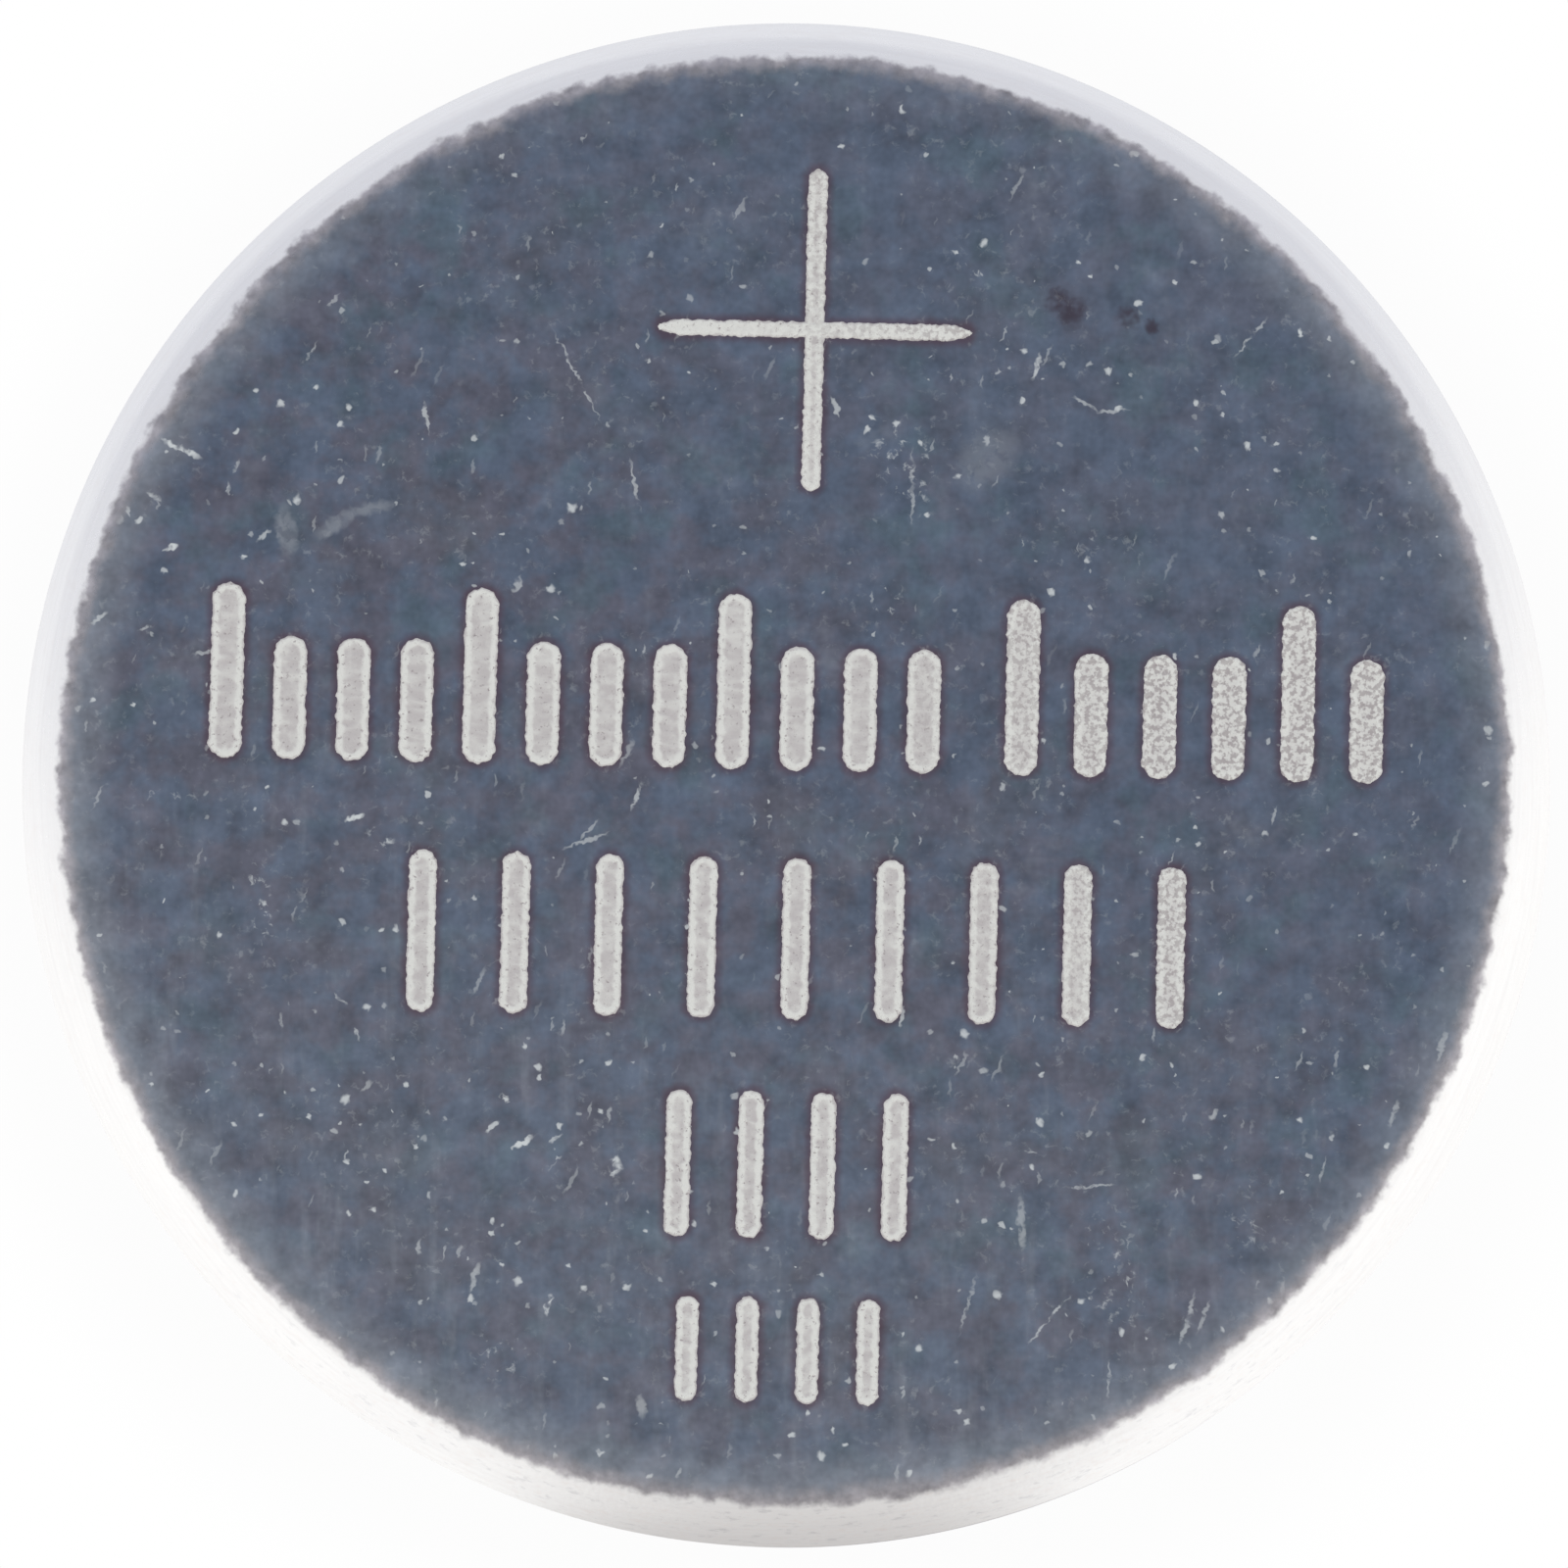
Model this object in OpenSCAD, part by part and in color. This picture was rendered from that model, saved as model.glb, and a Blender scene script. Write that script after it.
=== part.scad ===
// Lithium coin cell, lying on its negative cap with the closed face of the positive can up.
// Millimetres. The origin is the centre of the cap's contact face, and +Z is the cell's axis.

/* [Cell] */
// Outside diameter of the cell
cell_d = 11.5; // [9:0.1:25]
// Height over both contact faces
cell_h = 3.0; // [2.5:0.1:6]

/* [Positive can] */
// Sheet thickness of the can
can_wall = 0.25; // [0.18:0.01:0.32]
// Outside radius where the can's face turns into its side
can_corner_r = 0.5; // [0.35:0.05:0.8]
// Outside radius of the crimp that closes the can's mouth
crimp_r = 0.8; // [0.65:0.05:1]
// Width of the turned-in lip, from the can's side to its cut edge
lip_w = 1.1; // [0.95:0.05:1.35]

/* [Negative cap] */
// Sheet thickness of the cap
cap_wall = 0.2; // [0.16:0.01:0.25]
// Inside radius of every bend in the cap
cap_bend_r = 0.1; // [0.06:0.01:0.11]
// How far the contact face stands below the can's lip
cap_stand = 0.15; // [0.08:0.01:0.3]
// Length of the layer that is folded back outside the cap's skirt
hem_length = 0.8; // [0.4:0.05:1]
// Slit left between the two layers of the hem
hem_slit = 0.04; // [0.02:0.01:0.06]

/* [Gasket] */
// Wall of the gasket between the can and the cap
gasket_wall = 0.25; // [0.18:0.01:0.32]
// Thickness of the foot between the hem and the can's floor
gasket_foot = 0.35; // [0.25:0.05:0.5]
// Wall of the short leg inside the cap's skirt
leg_wall = 0.2; // [0.15:0.01:0.3]
// Height of that leg, from the can's floor
leg_height = 0.9; // [0.6:0.05:1.2]
// How far the gasket's end stands out of the lip's cut edge
gasket_proud = 0.04; // [0:0.01:0.06]

/* [Electrode stack] */
// Thickness of the lithium disc
lithium_t = 0.8; // [0.4:0.05:1]
// Gap between the lithium disc and the bend of the cap round it
lithium_gap = 0.2; // [0.1:0.05:1]
// Thickness of the separator
separator_t = 0.16; // [0.1:0.01:0.25]
// Height of the separator's rim round the pellet
separator_rim = 0.35; // [0.2:0.05:0.5]
// Sheet thickness of the collector ring
collector_t = 0.1; // [0.06:0.01:0.15]
// Height of the collector ring's band round the pellet
collector_band = 0.5; // [0.3:0.05:0.7]
// Width of the collector ring's flange on the can's floor
collector_flange = 0.9; // [0.5:0.05:1.5]
// Chamfer on the pellet's edge under the separator
pellet_chamfer = 0.08; // [0.04:0.01:0.15]
// Running gap between the stack and the gasket's leg
stack_gap = 0.04; // [0.02:0.01:0.1]

/* [Hidden] */
$fn = 96;

// Rounds a length that comes from a sine to the nearest micrometre.
function micron(x) = round(x * 1000) / 1000;

// Can: radii from the axis and heights above the contact face.
can_r = cell_d / 2;
bore_r = can_r - can_wall;
floor_z = cell_h - can_wall;
crimp_z = cap_stand + crimp_r;
lip_r = can_r - lip_w;
crimp_turn = acos(1 - lip_w / crimp_r);
lip_edge_z = micron(crimp_z - crimp_r * sin(crimp_turn));

// Cap: the sheet's middle line, from the contact face out to the hem.
neck_r = lip_r - gasket_wall;
shoulder_z = cap_stand + can_wall + gasket_wall;
bend_mid = cap_bend_r + cap_wall / 2;
neck_mid = neck_r - cap_wall / 2;
shoulder_mid = shoulder_z + cap_wall / 2;
hem_r = bore_r - gasket_wall;
skirt_r = hem_r - cap_wall - hem_slit;
skirt_mid = skirt_r - cap_wall / 2;
hem_top = floor_z - gasket_foot;
fold_z = hem_top - cap_wall - hem_slit / 2;

// Gasket
leg_r = skirt_r - cap_wall - leg_wall;
leg_end = floor_z - leg_height;
gasket_end = lip_edge_z - gasket_proud;

// Stack, from the cap up to the can's floor
lithium_r = neck_r - cap_wall - cap_bend_r - lithium_gap;
separator_z = cap_wall + lithium_t;
pellet_z = separator_z + separator_t;
pellet_h = floor_z - pellet_z;
pellet_r = leg_r - stack_gap - max(separator_t, collector_t);
collector_r = pellet_r + collector_t;

steel = [0.60, 0.62, 0.66];
cap_steel = [0.68, 0.68, 0.70];
gasket_white = [0.90, 0.90, 0.86];
pellet_black = [0.10, 0.10, 0.11];
fleece_white = [0.95, 0.95, 0.93];
lithium_grey = [0.72, 0.73, 0.75];

// A rectangle between two radii and two heights, in the plane that is turned about the axis.
module band(r0, r1, z0, z1) {
    translate([r0, z0]) square([r1 - r0, z1 - z0]);
}

// A bend of sheet about the origin, from the +x direction through an angle, positive to the left.
module bend(angle, inner, wall) {
    reach = 4 * (inner + wall);
    side = sign(angle);
    turn = abs(angle);
    intersection() {
        difference() {
            circle(inner + wall);
            circle(inner);
        }
        if (turn <= 90)
            polygon([[0, 0], [reach, 0], [reach, side * reach],
                     [reach * cos(turn), side * reach * sin(turn)]]);
        else
            polygon([[0, 0], [reach, 0], [reach, side * reach], [-reach, side * reach],
                     [reach * cos(turn), side * reach * sin(turn)]]);
    }
}

// Pressed sheet in section. Each step is a straight run, then a bend of some degrees and inside
// radius, positive to the left. The middle line starts at the origin and heads along +x.
module pressed(steps, wall, i = 0) {
    run = steps[i][0];
    angle = steps[i][1];
    inner = steps[i][2];
    side = sign(angle);
    mid = inner + wall / 2;
    translate([0, -wall / 2]) square([run, wall]);
    if (angle != 0)
        translate([run, side * mid]) {
            rotate(-side * 90) bend(angle, inner, wall);
            if (i < len(steps) - 1)
                rotate(angle) translate([0, -side * mid]) pressed(steps, wall, i + 1);
        }
}

module can_section() {
    translate([0, cell_h - can_wall / 2])
        pressed([[can_r - can_corner_r, -90, can_corner_r - can_wall],
                 [cell_h - can_corner_r - crimp_z, -crimp_turn, crimp_r - can_wall]], can_wall);
}

module cap_section() {
    translate([0, cap_wall / 2])
        pressed([[neck_mid - bend_mid, 90, cap_bend_r],
                 [shoulder_z - 2 * bend_mid, -90, cap_bend_r],
                 [skirt_mid - neck_mid - 2 * bend_mid, 90, cap_bend_r],
                 [fold_z - shoulder_mid - bend_mid, -180, hem_slit / 2],
                 [hem_length, 0, 0]], cap_wall);
}

// All that the can holds, out to the middle of its sheet, and down to the gasket's end in the mouth
module can_envelope() {
    mid = can_wall / 2;
    band(0, can_r - mid, crimp_z, cell_h - can_corner_r);
    band(0, can_r - can_corner_r, crimp_z, cell_h - mid);
    translate([can_r - can_corner_r, cell_h - can_corner_r]) circle(can_corner_r - mid);
    translate([can_r - crimp_r, crimp_z]) circle(crimp_r - mid);
    polygon([[0, gasket_end], [lip_r, gasket_end], [lip_r, lip_edge_z],
             [can_r - crimp_r, cap_stand + mid], [can_r - crimp_r, crimp_z], [0, crimp_z]]);
}

// Fills the room between can and cap, and hooks under the hem to stand on the can's floor.
module gasket_section() {
    difference() {
        can_envelope();
        can_section();
        cap_section();
        band(0, neck_mid, 0, shoulder_mid);
        band(0, skirt_mid, shoulder_mid, leg_end);
        band(0, leg_r, leg_end, cell_h);
        band(skirt_r, skirt_r + hem_slit, fold_z - hem_length, hem_top - cap_wall / 2);
    }
}

// Deep-drawn cup, closed at the top, with its mouth crimped in over the gasket
module positive_can() {
    color(steel) rotate_extrude() can_section();
}

// Stepped cap with its skirt folded back on itself
module negative_cap() {
    color(cap_steel) rotate_extrude() cap_section();
}

// Moulded ring that seals the two shells and keeps them apart
module sealing_gasket() {
    color(gasket_white) rotate_extrude() gasket_section();
}

// Pressed pellet, with a rebate for the collector ring's flange
module cathode_pellet() {
    color(pellet_black) difference() {
        translate([0, 0, pellet_z]) {
            cylinder(r1 = pellet_r - pellet_chamfer, r2 = pellet_r, h = pellet_chamfer);
            translate([0, 0, pellet_chamfer]) cylinder(r = pellet_r, h = pellet_h - pellet_chamfer);
        }
        rotate_extrude()
            band(collector_r - collector_flange, can_r, floor_z - collector_t, cell_h);
    }
}

// Ring of L-shaped section that presses the pellet's edge against the can's floor
module cathode_collector() {
    color(steel) rotate_extrude() {
        band(pellet_r, collector_r, floor_z - collector_band, floor_z);
        band(collector_r - collector_flange, collector_r, floor_z - collector_t, floor_z);
    }
}

// Shallow cup of fleece over the pellet's face
module separator() {
    rim_r = pellet_r + separator_t;
    color(fleece_white) rotate_extrude() {
        band(0, rim_r, separator_z, pellet_z);
        band(pellet_r, rim_r, separator_z, pellet_z + separator_rim);
    }
}

// Punched disc, pressed on to the inside of the cap
module lithium_anode() {
    color(lithium_grey) translate([0, 0, cap_wall]) cylinder(r = lithium_r, h = lithium_t);
}

positive_can();
negative_cap();
sealing_gasket();
cathode_pellet();
cathode_collector();
separator();
lithium_anode();
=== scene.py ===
"""A round lithium coin cell that lies on its negative cap, with its marked positive face up."""

import logging
import math
from dataclasses import dataclass, field, replace
from enum import Enum
from functools import reduce
from typing import Iterable

import bmesh
import bpy
from mathutils import Euler, Matrix, Vector, noise

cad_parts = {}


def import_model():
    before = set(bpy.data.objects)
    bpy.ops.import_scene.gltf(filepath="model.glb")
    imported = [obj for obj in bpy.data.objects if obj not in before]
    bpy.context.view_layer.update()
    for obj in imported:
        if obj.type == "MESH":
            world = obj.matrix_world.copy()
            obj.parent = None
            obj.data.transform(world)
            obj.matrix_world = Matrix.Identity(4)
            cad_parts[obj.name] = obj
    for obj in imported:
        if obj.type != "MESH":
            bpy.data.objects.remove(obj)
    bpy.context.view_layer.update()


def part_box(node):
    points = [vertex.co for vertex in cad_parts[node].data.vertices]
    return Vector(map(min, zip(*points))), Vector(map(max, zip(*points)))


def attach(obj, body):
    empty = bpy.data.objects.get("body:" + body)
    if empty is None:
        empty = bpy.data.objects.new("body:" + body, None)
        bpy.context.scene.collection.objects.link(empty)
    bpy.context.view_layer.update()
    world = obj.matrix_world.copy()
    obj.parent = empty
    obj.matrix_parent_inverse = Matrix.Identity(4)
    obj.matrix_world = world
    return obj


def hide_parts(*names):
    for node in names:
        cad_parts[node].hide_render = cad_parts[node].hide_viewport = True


LOG = logging.getLogger("coin_cell")

MM = 0.001
BODY = "root"
TURN_STEPS = 288
HOLD = 0.015
# Room round a mark for the shake of its outline, and round an etched one for its lean and halo
SHAKEN = 0.06
LEANING = 0.25

Colour = tuple[float, float, float]


def srgb(red: int, green: int, blue: int) -> Colour:
    """Turns a colour as it shows on a screen into the linear one that a shader takes.

    Args:
        red: Red, 0 to 255.
        green: Green, 0 to 255.
        blue: Blue, 0 to 255.

    Returns:
        The same colour in linear light.
    """
    def linear(level: int) -> float:
        """One channel in linear light."""
        share = level / 255
        return share / 12.92 if share <= 0.04045 else ((share + 0.055) / 1.055) ** 2.4

    return linear(red), linear(green), linear(blue)


class Slot(Enum):
    """The record's material slots."""

    CAN = "can_steel"
    CAP = "cap_steel"
    GASKET = "gasket_plastic"
    PELLET = "pellet_oxide"
    COLLECTOR = "collector_steel"
    SEPARATOR = "separator_fleece"
    LITHIUM = "lithium_metal"


# Shader maths

class Field:
    """A socket that varies over a surface. Python's operators on it add Math nodes."""

    def __init__(self, graph: "Graph", socket: bpy.types.NodeSocket) -> None:
        """Wraps a socket of one graph."""
        self.graph = graph
        self.socket = socket

    def _math(self, operation: str, *values: "Field | float") -> "Field":
        """Adds a Math node that works on the values in order."""
        return self.graph.add("ShaderNodeMath", {"operation": operation}, dict(enumerate(values)))

    def __add__(self, other: "Field | float") -> "Field":
        """This plus the other."""
        return self._math("ADD", self, other)

    def __radd__(self, other: float) -> "Field":
        """The other plus this."""
        return self._math("ADD", other, self)

    def __sub__(self, other: "Field | float") -> "Field":
        """This less the other."""
        return self._math("SUBTRACT", self, other)

    def __rsub__(self, other: float) -> "Field":
        """The other less this."""
        return self._math("SUBTRACT", other, self)

    def __mul__(self, other: "Field | float") -> "Field":
        """This times the other."""
        return self._math("MULTIPLY", self, other)

    def __rmul__(self, other: float) -> "Field":
        """The other times this."""
        return self._math("MULTIPLY", other, self)

    def __truediv__(self, other: "Field | float") -> "Field":
        """This over the other."""
        return self._math("DIVIDE", self, other)

    def __pow__(self, other: float) -> "Field":
        """This to the power of the other."""
        return self._math("POWER", self, other)

    def __mod__(self, other: float) -> "Field":
        """What is left of this after whole times the other."""
        return self._math("FLOORED_MODULO", self, other)

    def __abs__(self) -> "Field":
        """This without its sign."""
        return self._math("ABSOLUTE", self)

    def least(self, other: "Field | float") -> "Field":
        """The smaller of this and the other."""
        return self._math("MINIMUM", self, other)

    def most(self, other: "Field | float") -> "Field":
        """The larger of this and the other."""
        return self._math("MAXIMUM", self, other)

    def nearest(self) -> "Field":
        """This to the nearest whole number."""
        return self._math("ROUND", self)

    def over(self, limit: float) -> "Field":
        """1 where this is over the limit, and 0 elsewhere."""
        return self._math("GREATER_THAN", self, limit)

    def ease(self, low: "Field | float", high: "Field | float") -> "Field":
        """Goes smoothly from 0 where this is at low to 1 where it is at high.

        Args:
            low: The value that gives 0.
            high: The value that gives 1. It may be the smaller one.

        Returns:
            A field from 0 to 1.
        """
        return self.graph.add("ShaderNodeMapRange", {"interpolation_type": "SMOOTHSTEP"},
                              {"Value": self, "From Min": low, "From Max": high})


class Graph:
    """The nodes of one material or world."""

    def __init__(self, owner: bpy.types.Material | bpy.types.World) -> None:
        """Takes the node tree of a material or world and empties it."""
        owner.use_nodes = True
        self.owner = owner
        self.tree = owner.node_tree
        self.tree.nodes.clear()

    def add(self, kind: str, settings: dict[str, object] | None = None,
            inputs: dict[str | int, object] | None = None, output: str | int = 0) -> Field:
        """Adds a node.

        Args:
            kind: The node's type.
            settings: Its own properties, set before its sockets.
            inputs: A value or a field for each socket, by name or number.
            output: The socket that is wanted, by name or number.

        Returns:
            That output as a field.
        """
        node = self.tree.nodes.new(kind)
        for name, value in (settings or {}).items():
            setattr(node, name, value)
        for key, value in (inputs or {}).items():
            self.feed(node.inputs[key], value)
        return Field(self, node.outputs[output] if len(node.outputs) else None)

    def feed(self, socket: bpy.types.NodeSocket, value: object) -> None:
        """Links a field to a socket, or sets the socket to a number, colour or vector."""
        if isinstance(value, Field):
            self.tree.links.new(value.socket, socket)
            return
        if socket.type == "RGBA":
            value = (*value, 1.0)
        socket.default_value = value

    def mix(self, share: Field | float, first: Field | Colour, second: Field | Colour) -> Field:
        """Blends two colours.

        Args:
            share: How much of the second one, 0 to 1.
            first: The colour at 0.
            second: The colour at 1.

        Returns:
            The blended colour.
        """
        return self.add("ShaderNodeMix", {"data_type": "RGBA", "clamp_factor": True},
                        {0: share, 6: first, 7: second}, 2)

    def brighten(self, colour: Field | Colour, factor: Field | float) -> Field:
        """Multiplies a colour.

        Args:
            colour: The colour.
            factor: What it is multiplied by.

        Returns:
            The brighter or darker colour.
        """
        return self.add("ShaderNodeVectorMath", {"operation": "SCALE"}, {0: colour, "Scale": factor})

    def place(self) -> Field:
        """The point on the piece, in millimetres from the object's origin."""
        raw = self.add("ShaderNodeTexCoord", output="Object")
        return self.warp(raw, scale=(1 / MM,) * 3)

    def warp(self, place: Field, scale: Iterable[float] = (1, 1, 1), turn: float = 0.0,
             shift: Iterable[float] = (0, 0, 0)) -> Field:
        """Scales, turns and shifts a place.

        Args:
            place: The place to change.
            scale: The factor along each axis, applied first.
            turn: The turn about Z in degrees, counterclockwise.
            shift: The shift, applied last.

        Returns:
            The changed place.
        """
        if not turn:
            return self.scaled_sum(place, tuple(scale), tuple(shift))
        return self.add("ShaderNodeMapping", {"vector_type": "POINT"},
                        {"Vector": place, "Scale": tuple(scale), "Rotation": (0, 0, math.radians(turn)),
                         "Location": tuple(shift)})

    def scaled_sum(self, place: Field, factors: Field | tuple[float, ...],
                   offset: Field | tuple[float, ...]) -> Field:
        """Multiplies a place by three factors and adds an offset."""
        return self.add("ShaderNodeVectorMath", {"operation": "MULTIPLY_ADD"},
                        {0: place, 1: factors, 2: offset})

    def shake(self, place: Field, scale: float, reach: float) -> Field:
        """Shifts a place a little, differently from spot to spot.

        Args:
            place: The place to change.
            scale: Bends to the millimetre.
            reach: Twice the largest shift.

        Returns:
            The changed place.
        """
        drift = self.add("ShaderNodeTexNoise", inputs={"Vector": place, "Scale": scale, "Detail": 0.0},
                         output="Color")
        back = self.warp(place, shift=(-reach / 2, -reach / 2, 0))
        return self.scaled_sum(drift, (reach, reach, 0.0), back)

    def parts(self, place: Field) -> tuple[Field, Field, Field]:
        """The x, y and z of a place."""
        split = self.add("ShaderNodeSeparateXYZ", inputs={"Vector": place}).socket.node
        return tuple(Field(self, socket) for socket in split.outputs)

    def join(self, x: Field | float, y: Field | float, z: Field | float = 0.0) -> Field:
        """A place from its x, y and z."""
        return self.add("ShaderNodeCombineXYZ", inputs={0: x, 1: y, 2: z})

    def clouds(self, place: Field, scale: float, detail: float = 2.0, roughness: float = 0.5) -> Field:
        """Soft noise.

        Args:
            place: Where to read it.
            scale: Clouds to the millimetre.
            detail: Octaves of finer noise.
            roughness: How strong the finer noise is.

        Returns:
            A field around 0.5.
        """
        return self.add("ShaderNodeTexNoise", inputs={"Vector": place, "Scale": scale, "Detail": detail,
                                                      "Roughness": roughness})

    def specks(self, place: Field, pitch: float, radius: float, share: float) -> Field:
        """Scattered small spots of mixed size and strength.

        Args:
            place: Where to read them.
            pitch: The size of the cells that hold one spot or none.
            radius: The largest spot's radius.
            share: The share of the cells that hold a spot.

        Returns:
            0 beside the spots and up to 1 on them.
        """
        cells = self.add("ShaderNodeTexVoronoi", {"voronoi_dimensions": "2D"},
                         {"Vector": place, "Scale": 1 / pitch}, "Distance")
        dice = self.add("ShaderNodeSeparateColor",
                        inputs={"Color": Field(self, cells.socket.node.outputs["Color"])}).socket.node
        pick, size, strength = (Field(self, socket) for socket in dice.outputs)
        reach = (0.35 + 0.65 * size) * (radius / pitch)
        spot = cells.ease(reach, 0.45 * reach)
        return spot * pick.ease(1 - share, 1 - 0.8 * share) * (0.4 + 0.6 * strength)

    def bump(self, relief: Field, depth: float) -> Field:
        """The normals of a relief whose height of 1 stands for that depth in millimetres."""
        return self.add("ShaderNodeBump", inputs={"Height": relief, "Distance": depth * MM})

    def shader(self, sockets: dict[str, object]) -> Field:
        """A Principled shader with those values or fields on its sockets."""
        return self.add("ShaderNodeBsdfPrincipled", inputs=sockets)

    def either(self, share: Field, first: Field, second: Field) -> Field:
        """Blends two shaders. Where the share is 0 or 1, only one of them costs time."""
        return self.add("ShaderNodeMixShader", inputs={0: share, 1: first, 2: second})

    def end(self, shader: Field) -> bpy.types.Material:
        """Makes a shader the material's surface."""
        self.add("ShaderNodeOutputMaterial", inputs={"Surface": shader})
        return self.owner

    def surface(self, sockets: dict[str, object], relief: Field | None = None,
                depth: float = 0.0) -> bpy.types.Material:
        """Ends a material's nodes in one Principled shader.

        Args:
            sockets: The shader's sockets and their values or fields.
            relief: Height from 0 to 1 for the bump, if there is one.
            depth: The height that 1 stands for, in millimetres.

        Returns:
            The material.
        """
        if relief is not None:
            sockets["Normal"] = self.bump(relief, depth)
        return self.end(self.shader(sockets))


def new_graph(name: str) -> Graph:
    """Makes an empty material of that name and gives its nodes."""
    return Graph(bpy.data.materials.new(name))


# Sizes

@dataclass(frozen=True)
class CellSizes:
    """The cell's sizes in millimetres. Radii are from the axis, heights from the contact face."""

    can_r: float
    cell_h: float
    can_wall: float = 0.25
    can_corner_r: float = 0.5
    crimp_r: float = 0.8
    lip_w: float = 1.1
    cap_wall: float = 0.2
    cap_bend_r: float = 0.1
    cap_stand: float = 0.15
    hem_length: float = 0.8
    hem_slit: float = 0.04
    gasket_wall: float = 0.25
    gasket_foot: float = 0.35
    leg_wall: float = 0.2
    leg_height: float = 0.9
    gasket_proud: float = 0.04
    lithium_t: float = 0.8
    lithium_gap: float = 0.2
    separator_t: float = 0.16
    separator_rim: float = 0.35
    collector_t: float = 0.1
    collector_band: float = 0.5
    collector_flange: float = 0.9
    pellet_chamfer: float = 0.08
    stack_gap: float = 0.04

    @classmethod
    def from_frame(cls) -> "CellSizes":
        """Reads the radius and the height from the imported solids."""
        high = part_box("positive_can")[1]
        return cls(can_r=round(high[0] / MM, 3), cell_h=round(high[2] / MM, 3))

    @property
    def floor_z(self) -> float:
        """Height of the can's inner floor."""
        return self.cell_h - self.can_wall

    @property
    def crimp_z(self) -> float:
        """Height of the crimp's centre."""
        return self.cap_stand + self.crimp_r

    @property
    def crimp_turn(self) -> float:
        """How far the crimp turns, in degrees."""
        return math.degrees(math.acos(1 - self.lip_w / self.crimp_r))

    @property
    def lip_r(self) -> float:
        """Radius of the lip's cut edge."""
        return self.can_r - self.lip_w

    @property
    def lip_edge_z(self) -> float:
        """Height of the lip's cut edge."""
        return self.crimp_z - self.crimp_r * math.sin(math.radians(self.crimp_turn))

    @property
    def neck_r(self) -> float:
        """Outside radius of the cap's neck."""
        return self.lip_r - self.gasket_wall

    @property
    def shoulder_z(self) -> float:
        """Height of the cap's shoulder, underneath."""
        return self.cap_stand + self.can_wall + self.gasket_wall

    @property
    def cap_bend_mid(self) -> float:
        """Radius of the cap's bends at the middle of its sheet."""
        return self.cap_bend_r + self.cap_wall / 2

    @property
    def skirt_r(self) -> float:
        """Outside radius of the cap's skirt."""
        return self.can_r - self.can_wall - self.gasket_wall - self.cap_wall - self.hem_slit

    @property
    def fold_z(self) -> float:
        """Height of the centre of the hem's fold."""
        return self.floor_z - self.gasket_foot - self.cap_wall - self.hem_slit / 2

    @property
    def leg_r(self) -> float:
        """Inside radius of the gasket's short leg."""
        return self.skirt_r - self.cap_wall - self.leg_wall

    @property
    def pellet_z(self) -> float:
        """Height of the pellet's lower face."""
        return self.cap_wall + self.lithium_t + self.separator_t

    @property
    def pellet_r(self) -> float:
        """Radius of the pellet."""
        return self.leg_r - self.stack_gap - max(self.separator_t, self.collector_t)


# Turned and pressed meshes

class SectionPen:
    """Draws half of a section in the XZ plane, in millimetres, and turns it about the axis."""

    def __init__(self, r: float, z: float) -> None:
        """Starts a section at one point."""
        self.mesh = bmesh.new()
        self.tip = bmesh.ops.create_vert(self.mesh, co=(r, 0.0, z))["vert"][0]
        self.first = self.tip

    def run_to(self, r: float, z: float) -> bmesh.types.BMVert:
        """Draws a straight run, with a point near each end that keeps the run's shading flat.

        Args:
            r: Radius of the run's end.
            z: Height of the run's end.

        Returns:
            The end's vertex.
        """
        start = self.tip.co.copy()
        end = Vector((r, 0.0, z))
        length = (end - start).length
        stops = [start.lerp(end, HOLD / length), end.lerp(start, HOLD / length)] if length > 4 * HOLD else []
        for stop in [*stops, end]:
            self.tip = bmesh.ops.extrude_vert_indiv(self.mesh, verts=[self.tip])["verts"][0]
            self.tip.co = stop
        return self.tip

    def bend(self, r: float, z: float, turn: float) -> bmesh.types.BMVert:
        """Draws a bend about a centre.

        Args:
            r: Radius of the centre.
            z: Height of the centre.
            turn: The turn in degrees, positive from outwards to upwards.

        Returns:
            The end's vertex.
        """
        steps = max(4, round(abs(turn) / 7.5))
        spun = bmesh.ops.spin(self.mesh, geom=[self.tip], cent=(r, 0.0, z), axis=(0.0, -1.0, 0.0),
                              angle=math.radians(turn), steps=steps, use_merge=False)
        self.tip = next(item for item in spun["geom_last"] if isinstance(item, bmesh.types.BMVert))
        return self.tip

    def soften(self, corners: list[bmesh.types.BMVert], radius: float) -> None:
        """Rounds corners of the section."""
        bmesh.ops.bevel(self.mesh, geom=corners, offset=radius, segments=3, profile=0.5,
                        affect="VERTICES", material=-1)

    def close(self) -> None:
        """Joins the last point to the first, for a ring that doesn't reach the axis."""
        self.mesh.edges.new((self.tip, self.first))

    def turned(self) -> bmesh.types.BMesh:
        """Turns the section about the axis into a closed mesh."""
        mesh = self.mesh
        bmesh.ops.spin(mesh, geom=[*mesh.verts, *mesh.edges], cent=(0.0, 0.0, 0.0), axis=(0.0, 0.0, 1.0),
                       angle=math.tau, steps=TURN_STEPS, use_merge=True)
        bmesh.ops.remove_doubles(mesh, verts=mesh.verts, dist=1e-4)
        bmesh.ops.recalc_face_normals(mesh, faces=mesh.faces)
        return mesh


@dataclass(frozen=True)
class Press:
    """One step of a pressed sheet: a straight run, then a bend, positive to the left."""

    run: float
    turn: float = 0.0
    inside_r: float = 0.0


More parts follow.
